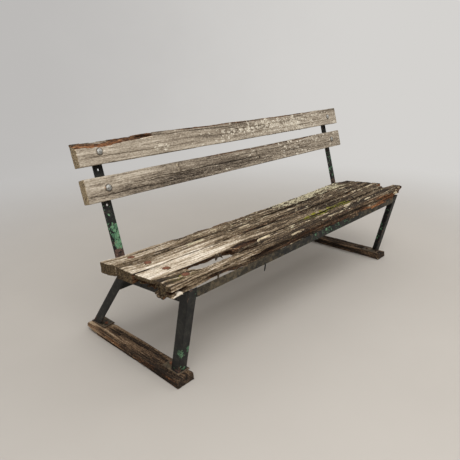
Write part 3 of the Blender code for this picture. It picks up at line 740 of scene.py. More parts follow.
# The pit is darkened: dark rot, with painted shade in the hollow.
pit = plank.within((-0.500, -0.385), (0.20, 1.3), 0.03, 0.2)
plank.stain("groove", 0.95 * pit * ease(plank.lumps(0.07, 0.008, 1.6), 0.20, 0.55))
plank.hollow((-0.735, -0.520), (0.00, 1.2), 0.008)
set_back = ease(plank.x, -0.80, -0.70) * ease(-plank.x, -0.84, -0.70) * ease(-plank.w, -0.45, -0.05)
set_back *= 0.006 + 0.009 * plank.lumps(0.14, 0.01, 0.4)
plank.points[:, 1] += set_back * np.clip((0.1 - plank.v) / 1.1, 0.0, 1.0)
torn = ease(plank.lumps(0.10, 0.012, 0.4), 0.15, 0.6) * ease(-plank.w, -0.9, -0.3)
bared = np.interp(plank.x, (0.20, 0.42, 0.56, 0.90), (0.0, 0.55, 1.0, 1.0))
plank.stain("fresh", bared * plank.within((0.20, 0.83), (-1.3, -0.80), 0.04, 0.10) * torn)
fringe = plank.within((0.05, 0.79), (-1.5, -0.86), 0.05, 0.05) * ease(-plank.w, 0.2, 1.0)
plank.points[:, 2] -= 0.009 * fringe * (0.2 + 1.1 * plank.lumps(0.05, 0.02, 1.4))
print(f"{np.mean(plank.mask['rot'] > 0.5):.1%} of the front plank is rotten")

# %% Front plank: stains and growth
edge_rot = ease(-plank.w, -0.8, -0.2) * (0.20 + 0.60 * plank.lumps(0.10, 0.012, 2.1))
plank.stain("rot", edge_rot * plank.within((-0.74, 0.30), (-1.3, -0.93), 0.06, 0.05))
chip(plank, [
    ((-0.370, -0.275), (0.62, 1.00)), ((-0.215, -0.115), (-0.92, -0.66)), ((0.305, 0.375), (0.26, 0.48)),
    ((0.110, 0.190), (-0.58, -0.32)), ((0.495, 0.565), (-0.10, 0.08)), ((0.070, 0.165), (0.30, 0.46)),
    ((-0.040, 0.015), (0.42, 0.60)), ((-0.135, -0.080), (0.82, 1.10)),
])
plank.grow("pale", *FLECKS, (-0.30, 0.88), (-0.9, 1.1), 0.1)
plank.stain("lichen", 0.75 * plank.within((-0.16, 0.12), (0.45, 0.80), 0.04) * plank.lumps(0.06, 0.02, 0.7))
plank.grow("lichen", *CRUST, (-0.15, 0.85), (-0.9, 1.0))
plank.stain("lichen", 0.30 * plank.within((0.80, 0.87), (-1.4, -0.72), 0.02, 0.12))
plank.stain("pale", 0.80 * plank.within((0.80, 0.88), (-1.4, -0.86), 0.02, 0.08))
plank.grow("moss", (0.15, 0.85), (0.04, 0.012, 0.9), (0.00, 0.42), (0.76, 1.3), 0.05, 0.10)
plank.stain("moss", 0.42 * plank.within((-0.86, -0.74), (-0.45, 0.45), 0.03, 0.2))
print(f"{np.mean(plank.mask['moss'] > 0.3):.1%} of it is mossy")

# %% Front plank: splits and ends
plank.cracks([
    ((-0.90, 0.30), (-0.30, 0.02), 0.0022, 0.010), ((-0.88, -0.52), (0.10, -0.40), 0.0020, 0.008),
    ((-0.20, 0.45), (0.55, 0.30), 0.0022, 0.011), ((0.05, -0.15), (0.86, -0.30), 0.0020, 0.010),
    ((0.30, 0.72), (0.86, 0.60), 0.0020, 0.008), ((-0.45, -0.75), (0.25, -0.70), 0.0020, 0.009),
])
plank.break_end(-1, 0.06, 0.003, 0.022, 0.45, ease(plank.v, 0.20, 0.45))
plank.break_end(1, 0.12, 0.005, 0.070, 0.10, ease(-plank.v, -0.10, 0.30), rot=0.1)
notch = ease(-plank.x, 0.79, 0.85) * ease(plank.w, -0.62, -0.42) * ease(-plank.w, -0.20, 0.05)
notch *= 0.7 + 0.6 * plank.lumps(0.03, 0.010, 0.6)
plank.points[:, 1] += 0.020 * notch * np.clip((0.2 - plank.v) / 1.2, 0.0, 1.0)
# The notch takes the rot colour and is darkened further with painted shade.
plank.stain("rot", notch * ease(-plank.v, 0.3, 0.9))
plank.stain("groove", 0.8 * notch * ease(-plank.v, 0.3, 0.9))
plank.stain("pale", 0.9 * ease(-plank.x, 0.82, 0.86) * ease(-plank.w, 0.55, 0.70) * ease(-plank.v, 0.7, 0.95))
plank.lift((-0.87, -0.81), 0.007 * ease(plank.v, -0.8, 0.3))
rail_rest = np.maximum(0.0, 0.0075 - sag(plank))
hanging = (rail_rest + 0.45 * set_back) * ease(plank.x, -0.62, -0.56) * ease(-plank.x, -0.765, -0.735)
plank.points[:, 2] -= hanging * np.clip((1 - plank.w) / 2, 0.0, 1.0) * np.clip((0.6 - plank.v) / 1.6, 0.0, 1.0)
lay_plank(plank, "front")

# %% Front middle plank
plank = toned("worn_plank_front_middle", PLANK_SIZE, 23.0, [
    (0.92, 0.98, 0.90, 0.62, 0.42, 0.38, 0.36, 0.42),
    (1.08, 1.16, 0.98, 0.76, 0.48, 0.40, 0.38, 0.42),
    (1.16, 1.16, 0.90, 0.64, 0.44, 0.40, 0.38, 0.44),
    (1.10, 1.08, 0.80, 0.52, 0.40, 0.38, 0.38, 0.42),
])
trim_end(plank, -1, 0.005)
trim_end(plank, 1, 0.004)
snapped = ease(-plank.v, 0.08, 0.24) * (0.75 + 0.5 * plank.lumps(0.5, 0.012, 0.7))
plank.points[:, 0] -= 0.072 * snapped * np.clip((plank.x - 0.70) / 0.195, 0.0, 1.0)
plank.stain("fresh", ease(-plank.v, -0.1, 0.2) * ease(plank.x, 0.87, 0.894))
plank.rot_edge(-1, -0.420, 0.100, 0.012, ragged=0.9, upper=True)
plank.rot_edge(1, 0.350, 0.300, 0.006, ragged=0.8, upper=True)
worn_under = 0.05 * (1 - ease(plank.x, -0.80, -0.70) * ease(-plank.x, 0.43, 0.50))
plank.shave((-0.049, 0.009), math.radians(238), worn_under + 0.006 * (plank.lumps(0.05, 0.02, 0.5) - 0.5))
plank.stain("rot", plank.within((-0.80, -0.25), (-1.3, -0.97), 0.06, 0.04) * 0.8)
plank.grow("moss", (0.12, 0.95), (0.04, 0.012, 0.9), (-0.01, 0.43), (-1.3, -0.60), 0.05, 0.12)
plank.grow("lichen", *CRUST, (-0.20, 0.85), (-0.9, 0.9))
chip(plank, [((0.615, 0.660), (0.70, 0.88)), ((0.760, 0.840), (0.42, 0.62)), ((0.175, 0.220), (-0.06, 0.12))])
plank.grow("pale", *FLECKS, (-0.35, 0.86), (-1.1, 1.1), 0.1)
plank.cracks([
    ((-0.89, 0.08), (-0.58, -0.02), 0.0015, 0.007), ((-0.84, -0.62), (-0.60, -0.55), 0.0015, 0.006),
    ((-0.66, 0.62), (-0.38, 0.50), 0.0015, 0.007), ((-0.50, -0.10), (-0.22, -0.20), 0.0015, 0.007),
    ((-0.90, 0.42), (-0.20, 0.05), 0.0034, 0.016), ((-0.85, -0.28), (-0.52, -0.40), 0.0020, 0.010),
    ((-0.90, 0.78), (-0.45, 0.72), 0.0020, 0.009), ((-0.45, 0.55), (0.30, 0.35), 0.0022, 0.011),
    ((-0.25, -0.35), (0.50, -0.20), 0.0022, 0.012), ((0.20, 0.20), (0.86, 0.35), 0.0020, 0.010),
    ((-0.72, 0.10), (-0.60, 0.06), 0.0020, 0.008), ((0.35, -0.60), (0.86, -0.50), 0.0020, 0.009),
])
plank.break_end(-1, 0.08, 0.003, 0.024, 0.20)
plank.break_end(1, 0.10, 0.005, rot=0.2)
lay_plank(plank, "front_middle")

# %% Back middle plank
plank = toned("worn_plank_back_middle", PLANK_SIZE, 37.0, [
    (1.12, 1.12, 0.92, 0.58, 0.44, 0.42, 0.40, 0.40),
    (1.08, 1.04, 0.82, 0.54, 0.44, 0.42, 0.40, 0.40),
    (0.90, 0.82, 0.66, 0.48, 0.42, 0.40, 0.40, 0.42),
    (0.80, 0.74, 0.64, 0.44, 0.40, 0.40, 0.40, 0.42),
])
plank.rot_edge(-1, -0.150, 0.320, 0.008, ragged=0.8, upper=True)
plank.stain("pale", 1.1 * plank.within((-0.57, -0.46), (0.48, 0.86), 0.03, 0.12))
plank.stain("lichen", 0.75 * plank.within((-0.57, -0.46), (0.48, 0.88), 0.03, 0.15))
plank.grow("lichen", *CRUST, (-0.20, 0.85), (-0.9, 0.9))
plank.grow("pale", *FLECKS, (-0.40, 0.88), (-1.1, 1.1), 0.1)
chip(plank, [
    ((0.455, 0.505), (-0.33, -0.13)), ((0.585, 0.630), (-0.96, -0.76)), ((0.185, 0.235), (-1.00, -0.80)),
    ((-0.080, -0.010), (-0.25, -0.02)), ((-0.115, -0.070), (0.56, 0.76)), ((-0.250, -0.185), (0.28, 0.48)),
])
plank.cracks([
    ((-0.89, -0.66), (-0.50, -0.50), 0.0015, 0.007), ((-0.80, 0.02), (-0.55, -0.10), 0.0015, 0.006),
    ((-0.90, 0.30), (-0.10, 0.10), 0.0022, 0.011), ((-0.60, -0.62), (0.10, -0.70), 0.0024, 0.013),
    ((-0.35, 0.70), (0.40, 0.80), 0.0022, 0.011), ((0.00, -0.10), (0.80, 0.10), 0.0022, 0.011),
    ((-0.90, -0.20), (-0.62, -0.12), 0.0020, 0.008), ((0.30, -0.60), (0.88, -0.55), 0.0020, 0.010),
])
# Painted shade: the front side of the left end, seen in the gap between planks, is darkened with the rot colour.
plank.stain("rot", 0.9 * ease(-plank.x, 0.78, 0.84) * (plank.v < -0.99) * ease(-plank.w, -0.95, -0.70))
plank.lift((-0.88, -0.81), 0.006 + 0.003 * plank.v)
plank.break_end(-1, 0.05, 0.002)
plank.break_end(1, 0.08, 0.006)
lay_plank(plank, "back_middle")

# %% Back plank
plank = toned("worn_plank_back", PLANK_SIZE, 41.0, [
    (0.76, 0.76, 0.66, 0.52, 0.44, 0.40, 0.40, 0.40),
    (0.88, 0.90, 0.76, 0.56, 0.46, 0.42, 0.42, 0.42),
    (0.82, 0.80, 0.64, 0.50, 0.44, 0.42, 0.42, 0.42),
    (0.84, 0.76, 0.62, 0.52, 0.46, 0.46, 0.48, 0.44),
])
plank.rot_edge(1, 0.050, 0.700, 0.010, ragged=0.9, upper=True)
plank.rot_edge(1, 0.940, 0.140, 0.040, ragged=0.5, start=-0.5)
plank.grow("lichen", (0.52, 0.60), (0.06, 0.025, 0.2), (0.10, 0.80), (-0.95, 1.6), 0.16, 0.25)
plank.grow("lichen", (0.10, 0.36), (0.10, 0.04, 0.8), (-0.55, 0.85), (-0.8, 1.4))
plank.grow("pale", (0.10, 0.36), (0.16, 0.03, 0.3), (-0.50, 0.88), (-1.1, 1.1), 0.1)
plank.cracks([
    ((-0.90, -0.30), (-0.05, -0.55), 0.0022, 0.011), ((-0.55, 0.35), (0.35, 0.10), 0.0022, 0.011),
    ((-0.10, -0.20), (0.75, -0.40), 0.0022, 0.011), ((-0.90, 0.45), (-0.50, 0.40), 0.0020, 0.009),
])
plank.break_end(-1, 0.05, 0.002)
plank.break_end(1, 0.06, 0.005)
plank.points[:, 2] += 0.006 * ease(-plank.x, 0.55, 0.85) * np.clip(-plank.v, 0.0, 1.0)
plank.lift((-0.88, -0.81), 0.006)
beside = np.abs(np.abs(plank.x) - UPRIGHT_X)
plank.shave((0.0506, 0.020), -BACK_LEAN - SEAT_TILT, 0.05 * ease(beside, 0.0205, 0.0245), "groove", 0.3)
lay_plank(plank, "back")

# %% [markdown]
# ## The back
# Two slats face forward and lean back. The upper one has lost its top front corner at the
# left, where the broken wood still shows its red heart, and ends in a splintered notch.

# %% Sizes of the back
SLAT_SIZE = (TIMBER_LENGTH, 0.093, 0.039)
SLAT_RISES = {"lower": 0.268, "upper": 0.4055}
BACK_FOOT = Vector((0.0, 0.08189, 0.41506))
FIT_GAP = 0.0003
SLAT_WEAR = 0.0016
BACK_PLACE = Matrix.Translation(BACK_FOOT) @ Matrix.Rotation(-BACK_LEAN, 4, "X")


def hang_slat(timber, label):
    """Wear a slat's ends and faces and stand it against the uprights, its worn face forward."""
    timber.break_end(-1, 0.03, 0.002)
    timber.break_end(1, 0.03, 0.002)
    timber.weather(SLAT_WEAR, [(-UPRIGHT_X, 0.0), (UPRIGHT_X, 0.0)], 0.35)
    stand = Matrix.Translation((0.0, -FIT_GAP, SLAT_RISES[label])) @ Matrix.Rotation(math.pi / 2, 4, "X")
    place = BACK_PLACE @ stand @ Matrix.Translation((0.0, 0.0, 0.5 * SLAT_SIZE[2]))
    return timber.place_in(place, slat_wood, "weathered_wood", ["back_slat_" + label])


print("slats up the back, in metres:", SLAT_RISES)


# %% Lower slat
KNOTS = ((-0.437, 0.62), (-0.430, 0.20), (0.082, 0.45), (0.098, -0.20))
slat = toned("worn_slat_lower", SLAT_SIZE, 53.0, [
    (0.76, 0.56, 0.42, 0.40, 0.40, 0.48, 0.60, 0.58),
    (0.76, 0.38, 0.26, 0.25, 0.29, 0.42, 0.58, 0.58),
    (0.80, 0.59, 0.41, 0.37, 0.40, 0.48, 0.62, 0.60),
    (0.82, 0.76, 0.66, 0.62, 0.58, 0.56, 0.62, 0.58),
    (0.76, 0.68, 0.60, 0.56, 0.52, 0.50, 0.54, 0.52),
])
slat.rot_edge(1, 0.150, 0.500, 0.004, ragged=0.9, upper=True)
growth = np.interp(
    slat.x, (-0.9, -0.5, -0.2, 0.1, 0.35, 0.6, 0.9), (0.05, 0.14, 0.24, 0.28, 0.48, 0.46, 0.42)
)
slat.stain("lichen", growth * (0.4 + slat.lumps(0.09, 0.03, 0.5)))
for along, across in KNOTS:
    rows = (across - 0.18, across + 0.18)
    slat.hollow((along - 0.004, along + 0.004), rows, 0.003, None, 0.012, 0.25)
    knot = slat.within((along - 0.007, along + 0.007), rows, 0.008, 0.25)
    knot *= 0.2 + 0.8 * slat.lumps(0.006, 0.010, 0.7)
    slat.stain("groove", knot)
    slat.stain("rot", 0.7 * knot)
    rim = slat.within((along - 0.016, along - 0.008), (across - 0.10, across + 0.25), 0.006, 0.15)
    slat.stain("pale", 0.9 * rim)
from_bolt = np.hypot(slat.x + UPRIGHT_X + 0.012, slat.rest[:, 1] + 0.004)
slat.stain("fresh", 0.45 * np.exp(-(from_bolt / 0.015) ** 2))
slat.cracks([
    ((-0.70, 0.05), (0.20, -0.12), 0.0018, 0.006), ((-0.88, -0.55), (-0.30, -0.60), 0.0016, 0.004),
    ((-0.20, 0.50), (0.60, 0.42), 0.0016, 0.004), ((0.20, -0.30), (0.88, -0.25), 0.0016, 0.004),
], 0.45)
hang_slat(slat, "lower")

# %% Upper slat
slat = toned("worn_slat_upper", SLAT_SIZE, 67.0, [
    (0.84, 0.78, 0.80, 0.80, 0.76, 0.74, 0.76, 0.72),
    (0.82, 0.76, 0.76, 0.74, 0.70, 0.72, 0.76, 0.72),
    (0.80, 0.72, 0.68, 0.66, 0.64, 0.66, 0.72, 0.68),
    (0.76, 0.64, 0.54, 0.52, 0.52, 0.54, 0.60, 0.58),
])
jag = 0.0040 * (slat.lumps(0.045, 0.012, 0.1) - 0.5) + 0.0035 * (slat.lumps(0.014, 0.004, 0.3) - 0.5)
stepped = 0.003 * ease(-slat.x, 0.82, 0.88) + 0.008 * ease(slat.x, -0.780, -0.640)
stepped += 0.05 * ease(slat.x, -0.5415, -0.5380)
slat.shave((0.0165, 0.0195), math.radians(33), jag + stepped, "fresh", 0.95)
broken = ease(slat.mask["fresh"], 0.3, 0.8)
in_notch = 0.9 * slat.within((-0.680, -0.530), (0.55, 1.3), 0.02, 0.1)
slat.stain("rot", broken * np.maximum(in_notch, ease(-slat.points[:, 2], -0.002, 0.008)))
slat.stain("rot", 0.9 * slat.within((-0.92, -0.55), (0.90, 1.5), 0.01, 0.08) * ease(-slat.w, -0.30, 0.10))
slat.mask["fresh"] *= 1 - 0.9 * ease(slat.mask["rot"], 0.3, 0.7)
slat.rot_edge(1, 0.100, 0.600, 0.004, ragged=0.9, upper=True)
growth = np.interp(
    slat.x, (-0.9, -0.6, -0.4, -0.2, -0.1, 0.2, 0.5, 0.9), (0.05, 0.14, 0.26, 0.36, 0.58, 0.66, 0.62, 0.50)
)
growth *= (0.4 + slat.lumps(0.09, 0.03, 0.5)) * (0.5 + 0.5 * ease(-slat.v, -1.0, -0.3))
growth = np.maximum(growth, 0.75 * slat.within((-0.55, -0.45), (-0.70, -0.15), 0.03, 0.2))
slat.stain("lichen", growth)
slat.cracks([
    ((-0.60, 0.70), (0.10, 0.62), 0.0016, 0.005), ((-0.88, -0.40), (-0.30, -0.48), 0.0015, 0.003),
    ((-0.10, 0.20), (0.70, 0.30), 0.0016, 0.004), ((0.10, -0.50), (0.86, -0.40), 0.0015, 0.004),
], 0.45)
hang_slat(slat, "upper")

# %% [markdown]
# ## The skids
# A short timber under each frame keeps the iron off the ground. It is a plank cut short and
# turned to run from front to back, and it crumbles most at its ends, where it stays wet.

# %% Skids
SKID_SIZE = (0.617, 0.084, 0.036)
SKID_CELLS = (200, 50, 20)
SKID_X = 0.801
SKID_MIDDLE = 0.0275
FOOT_SCREWS = (-0.1835, 0.2565)
FOOT_SCREW_X = 0.790
SKID_WEAR = 0.0022

for side, name, seed in ((-1, "left", 71.0), (1, "right", 83.0)):
    skid = Timber("worn_skid_" + name, SKID_SIZE, SKID_CELLS, seed)
    fading = np.interp(skid.x, (-0.30, -0.10, 0.12, 0.30), (0.12, 0.24, 0.50, 1.00)) if side < 0 else 0.28
    skid.mask["tone"] = fading + 0.30 * skid.lumps(0.12, 0.03, 0.6)
    for edge, centre, reach in ((1, 0.250, 0.090), (-1, 0.270, 0.080), (-1, -0.300, 0.070)):
        skid.rot_edge(edge, centre, reach, 0.004, ragged=0.8, upper=True)
    worn_corner = 0.016 * ease(skid.x, 0.20, 0.31) + 0.004 * skid.lumps(0.08, 0.02, 0.5)
    skid.shave((0.042, -0.018), math.radians(-50), 0.002 - worn_corner, "fresh", 0.5)
    skid.stain("lichen", 0.04 + 0.16 * skid.lumps(0.08, 0.03, 0.8))
    skid.stain("pale", 0.35 * skid.lumps(0.10, 0.03, 0.3) * ease(skid.v, 0.2, 0.9))
    bared = ease(skid.v, 0.90, 1.0) * ease(skid.lumps(0.09, 0.03, 0.9), 0.2, 0.6)
    skid.stain("fresh", (0.36 if side < 0 else 0.25) * bared)
    skid.cracks([((-0.30, 0.55), (0.05, 0.45), 0.0018, 0.005), ((-0.12, -0.35), (0.30, -0.20), 0.0018, 0.006)])
    skid.break_end(-1, 0.05, 0.003)
    skid.break_end(1, 0.04, 0.001)
    screws = [(y - SKID_MIDDLE, side * (SKID_X - FOOT_SCREW_X)) for y in FOOT_SCREWS]
    skid.weather(SKID_WEAR, screws, proud=0.0)
    skid.points[:, 2] = np.maximum(skid.points[:, 2], -0.5 * SKID_SIZE[2])
    place = Matrix.Translation((side * SKID_X, SKID_MIDDLE, 0.5 * SKID_SIZE[2]))
    skid.place_in(place @ Matrix.Rotation(math.pi / 2, 4, "Z"), skid_wood, "skid_wood", [name + "_skid"])


# %% [markdown]
# ## Broken bits
# Rot leaves loose wood behind: splinters that still hang by one end. A splinter is a small
# timber whose section shrinks to a point; its thick end starts inside the plank it belongs to.

# %% Where splinters hang
SPLINTER_CELLS = (28, 8, 6)
# Label, thick end, tip, width and thickness, seed, tone, fresh wood, bow and taper.
IN_SEAT = (
    ("gap_1", (-0.570, 0.112, 0.033), (-0.590, 0.100, 0.017), (0.017, 0.010), 101.0, 0.05, 0.0, 0.0, 0.85),
    ("gap_2", (-0.559, 0.112, 0.033), (-0.550, 0.100, 0.014), (0.015, 0.009), 102.0, 0.05, 0.0, 0.0, 0.85),
    ("gap_3", (-0.520, 0.111, 0.036), (-0.455, 0.092, 0.026), (0.010, 0.005), 103.0, 0.20, 0.3, 0.004),
    ("pit_1", (-0.360, 0.084, 0.029), (-0.492, 0.091, 0.024), (0.012, 0.006), 113.0, 0.10, 0.12, 0.003),
    ("pit_2", (-0.360, 0.070, 0.030), (-0.470, 0.079, 0.027), (0.009, 0.005), 114.0, 0.05, 0.10, 0.002),
    ("pit_3", (-0.512, 0.063, 0.027), (-0.400, 0.084, 0.029), (0.008, 0.006), 115.0, 0.15, 0.20, 0.003),
    ("pit_4", (-0.366, 0.060, 0.031), (-0.452, 0.065, 0.031), (0.007, 0.004), 116.0, 0.25),
    ("front_1", (-0.652, 0.020, 0.016), (-0.683, 0.001, -0.006), (0.011, 0.009), 104.0, 0.02, 0.0, 0.004, 0.8),
)
AT_ENDS = (
    ("front_2", (-0.846, -0.322, 0.413), (-0.887, -0.331, 0.410), (0.022, 0.010), 105.0, 0.9, 0.0, 0.002, 0.55),
    ("end_1", (-0.846, -0.258, 0.405), (-0.892, -0.262, 0.394), (0.021, 0.020), 107.0, 0.16, 0.22, 0.0, 0.25),
    ("end_4", (-0.846, -0.272, 0.406), (-0.888, -0.277, 0.389), (0.019, 0.016), 117.0, 0.20, 0.15, 0.0, 0.35),
    ("end_2", (-0.866, -0.284, 0.410), (-0.893, -0.291, 0.393), (0.014, 0.009), 108.0, 0.35, 0.55, 0.002),
    ("end_3", (-0.860, -0.248, 0.408), (-0.890, -0.246, 0.398), (0.016, 0.012), 109.0, 0.10, 0.10, 0.0, 0.5),
    ("rail", (-0.806, -0.050, 0.346), (-0.811, -0.062, 0.326), (0.0025, 0.0025), 112.0, 0.0),
)
ON_SLAT = (
    ("slat_1", (-0.530, -0.0350, 0.0270), (-0.625, -0.0368, 0.0240), (0.008, 0.006), 110.0, 0.75, 0.1, 0.001),
    ("slat_2", (-0.526, -0.0200, 0.0400), (-0.646, -0.0230, 0.0425), (0.013, 0.009), 111.0, 0.25, 0.6, 0.002),
)
print(len(IN_SEAT) + len(AT_ENDS) + len(ON_SLAT), "splinters")


# %% Splinters
def splinter(label, start, end, size, seed, tone, fresh=0.0, bow=0.0, taper=0.93):
    """A tapering piece of wood from one place to another; size is its width and thickness."""
    reach = end - start
    timber = Timber("splinter_" + label, (reach.length, *size), SPLINTER_CELLS, seed)
    share = timber.x / reach.length + 0.5
    thin = (1 - taper * share ** 1.4) * (0.75 + 0.5 * timber.lumps(0.012, 0.004, 0.2))
    timber.points[:, 1:] *= thin[:, None]
    timber.points[:, 2] += bow * 4 * share * (1 - share)
    timber.mask["tone"][:] = tone
    timber.mask["fresh"][:] = fresh
    timber.mask["end"][:] = 0.0
    turn = reach.to_track_quat("X", "Z").to_matrix().to_4x4()
    return timber.place_in(Matrix.Translation((start + end) / 2) @ turn, seat_wood, "weathered_wood")


SLAT_MIDDLE = BACK_PLACE @ Matrix.Translation((0.0, 0.0, SLAT_RISES["upper"]))
for place, bits in ((SEAT_PLACE, IN_SEAT), (Matrix.Identity(4), AT_ENDS), (SLAT_MIDDLE, ON_SLAT)):
    for label, start, end, *form in bits:
        splinter(label, place @ Vector(start), place @ Vector(end), *form)


# %% [markdown]
# ## Painted steel
# The frames are rolled angle iron and flat bar. Rolled bars have soft outer edges and a
# fillet inside the angle, so each bar is taken from the packed model, its loose triangles are
# merged and its edges are bevelled. Then planes cut it into small cells, because the paint's
# wear is kept at the vertices: rust follows the edges, and an older green coat shows where
# the black one has flaked off.


# %% The paint finish
def old_paint():
    paint = Finish("old_paint")
    fine = paint.noise((230.0,) * 3, 4.0, 0.62) - 0.5
    coarse = paint.noise((52.0,) * 3, 4.0, 0.62, 3.1) - 0.5
    broad = paint.noise((11.0,) * 3, 3.0, 0.6, 7.7) - 0.5
    edge, green, rust, dust = (paint.attribute(mask) for mask in ("edge", "green", "rust", "dust"))
    black = paint.ramp(coarse * 1.2 + fine + broad * 0.6 + 0.5, [
        (0.20, (12, 13, 13)), (0.50, (26, 27, 26)), (0.80, (52, 52, 47)),
    ])
    old_green = paint.ramp(fine * 1.3 + coarse * 0.9 + 0.5, [
        (0.15, (34, 58, 45)), (0.45, (76, 116, 87)), (0.80, (130, 170, 132)),
    ])
    flakes = ((0.022, 0.014, 0.018), 1.7), ((0.006, 0.006, 0.009), 6.1)
    chipped = paint.maths("MAXIMUM", *(paint.flecks(room, green, shift) for room, shift in flakes))
    face = paint.mix(chipped, black, old_green)
    brown = paint.ramp(fine * 1.4 + coarse * 0.8 + 0.5, [
        (0.20, (36, 28, 25)), (0.50, (74, 56, 49)), (0.80, (118, 92, 80)),
    ])
    rusted = paint.step(coarse * 0.7 + fine * 0.4 + rust * 0.42 + edge * 0.14, 0.31, 0.38)
    face = paint.mix(rusted, face, brown)
    dusty = paint.step(dust + coarse * 1.1 + fine * 0.7, 0.30, 0.85) * 0.75
    face = paint.mix(dusty, face, (112, 99, 77))
    layers = coarse * 0.5 + fine * 0.6 - chipped * 0.25 + rusted * fine * 1.5
    return paint.surface(
        Base_Color=face,
        Roughness=rusted * 0.25 + chipped * 0.12 + fine * 0.25 + 0.56,
        Specular_IOR_Level=0.28,
        Normal=paint.bump(layers, 0.6, 0.0012),
    )


paint = old_paint()
print("paint finish:", paint.name)

# %% Softening a bar
BEND = math.radians(35)
OUTER_RADIUS = 0.0012
INNER_RADIUS = 0.004


def on_grid(low, high, pitch):
    """Evenly spaced places between two ends, without the ends."""
    count = max(1, round((high - low) / pitch))
    return [low + (high - low) * i / count for i in range(1, count)]


def bevel(bm, convex, offset, segments):
    """Round the outer bends of a body, or its inner ones, and give the new faces."""
    bends = [e for e in bm.edges if e.is_manifold and e.is_convex == convex and e.calc_face_angle() > BEND]
    shape = {"offset": offset, "segments": segments, "profile": 0.5, "affect": "EDGES", "material": -1}
    return bmesh.ops.bevel(bm, geom=bends, **shape)["faces"]


def soften(node, outer, inner=0.0):
    """A copy of a packed piece with merged corners, rounded outer edges and filleted inner ones."""
    bm = bmesh.new()
    bm.from_mesh(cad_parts[node].data)
    bmesh.ops.remove_doubles(bm, verts=bm.verts, dist=1e-5)
    bmesh.ops.dissolve_limit(bm, angle_limit=math.radians(1), verts=bm.verts, edges=bm.edges)
    mark = bm.faces.layers.int.new("rounded")
    if inner:
        bevel(bm, False, inner, 4)
    for face in bevel(bm, True, outer, 2):
        face[mark] = 1
    return bm


print("bends over", round(math.degrees(BEND)), "degrees are rounded")


# %% Cells, pieces and places
def into_cells(bm, pitch):
    """Cut a body by planes across X, Y and Z."""
    for axis in range(3):
        across = Vector([float(i == axis) for i in range(3)])
        places = [vert.co[axis] for vert in bm.verts]
        for place in on_grid(min(places), max(places), pitch[axis]):
            geometry = bm.verts[:] + bm.edges[:] + bm.faces[:]
            bmesh.ops.bisect_plane(bm, geom=geometry, dist=1e-5, plane_co=across * place, plane_no=across)
    mark = bm.faces.layers.int["rounded"]
    layer = bm.verts.layers.float.new("edge")
    for vert in bm.verts:
        vert[layer] = float(any(face[mark] for face in vert.link_faces))


def settle(bm, name, material, nodes=(), sharp=40):
    """Turn a finished body into a piece."""
    bmesh.ops.recalc_face_normals(bm, faces=bm.faces)
    mesh = bpy.data.meshes.new(name)
    bm.to_mesh(mesh)
    bm.free()
    return as_piece(name, mesh, material, nodes, sharp)


def near(points, spots):
    """How close points are to some places, each given as x, y, z, radius and strength."""
    total = np.zeros(len(points))
    for *place, radius, strength in spots:
        away = np.linalg.norm(points - np.array(place), axis=1)
        total = np.maximum(total, strength * ease(-away, -1.4 * radius, -0.5 * radius))
    return total


print("a bar of 1 m cut every 0.25 m:", on_grid(0.0, 1.0, 0.25))


# %% Where the paint has gone
STEEL_PITCH = {
    "back_upright": (0.006, 0.012, 0.010), "front_leg": (0.006, 0.006, 0.010),
    "rear_leg": (0.006, 0.008, 0.010), "seat_rail": (0.006, 0.010, 0.006),
    "front_rail": (0.014, 0.006, 0.006), "rear_rail": (0.014, 0.006, 0.006),
    "foot_plate": (0.006, 0.008, 0.010),
}
GREEN_SPOTS = [
    (-0.789, 0.094, 0.462, 0.026, 1.05), (-0.788, 0.106, 0.496, 0.030, 1.0), (-0.802, 0.114, 0.525, 0.034, 0.66),
    (-0.800, 0.130, 0.575, 0.060, 0.34), (0.790, 0.105, 0.490, 0.050, 0.50), (0.790, 0.130, 0.575, 0.050, 0.48),
    (-0.812, -0.268, 0.130, 0.026, 0.72), (-0.776, -0.274, 0.136, 0.022, 0.66), (-0.812, -0.240, 0.060, 0.022, 0.50),
    (-0.795, -0.252, 0.048, 0.018, 0.55), (-0.785, -0.322, 0.378, 0.024, 0.42), (-0.785, -0.305, 0.300, 0.030, 0.20),
    (0.812, -0.262, 0.200, 0.034, 0.66), (0.812, -0.282, 0.290, 0.030, 0.50), (0.812, -0.244, 0.120, 0.032, 0.62),
]
RUST_SPOTS = [
    (-0.798, 0.082, 0.418, 0.034, 1.0), (-0.817, 0.100, 0.470, 0.030, 0.60), (-0.812, -0.250, 0.050, 0.025, 0.80),
    (-0.800, -0.255, 0.045, 0.030, 0.65), (-0.800, 0.318, 0.048, 0.035, 0.70), (0.800, 0.318, 0.048, 0.035, 0.70),
    (0.800, -0.250, 0.048, 0.035, 0.65), (0.798, 0.080, 0.425, 0.035, 0.80),
]
print(len(GREEN_SPOTS), "green spots and", len(RUST_SPOTS), "rusty ones")

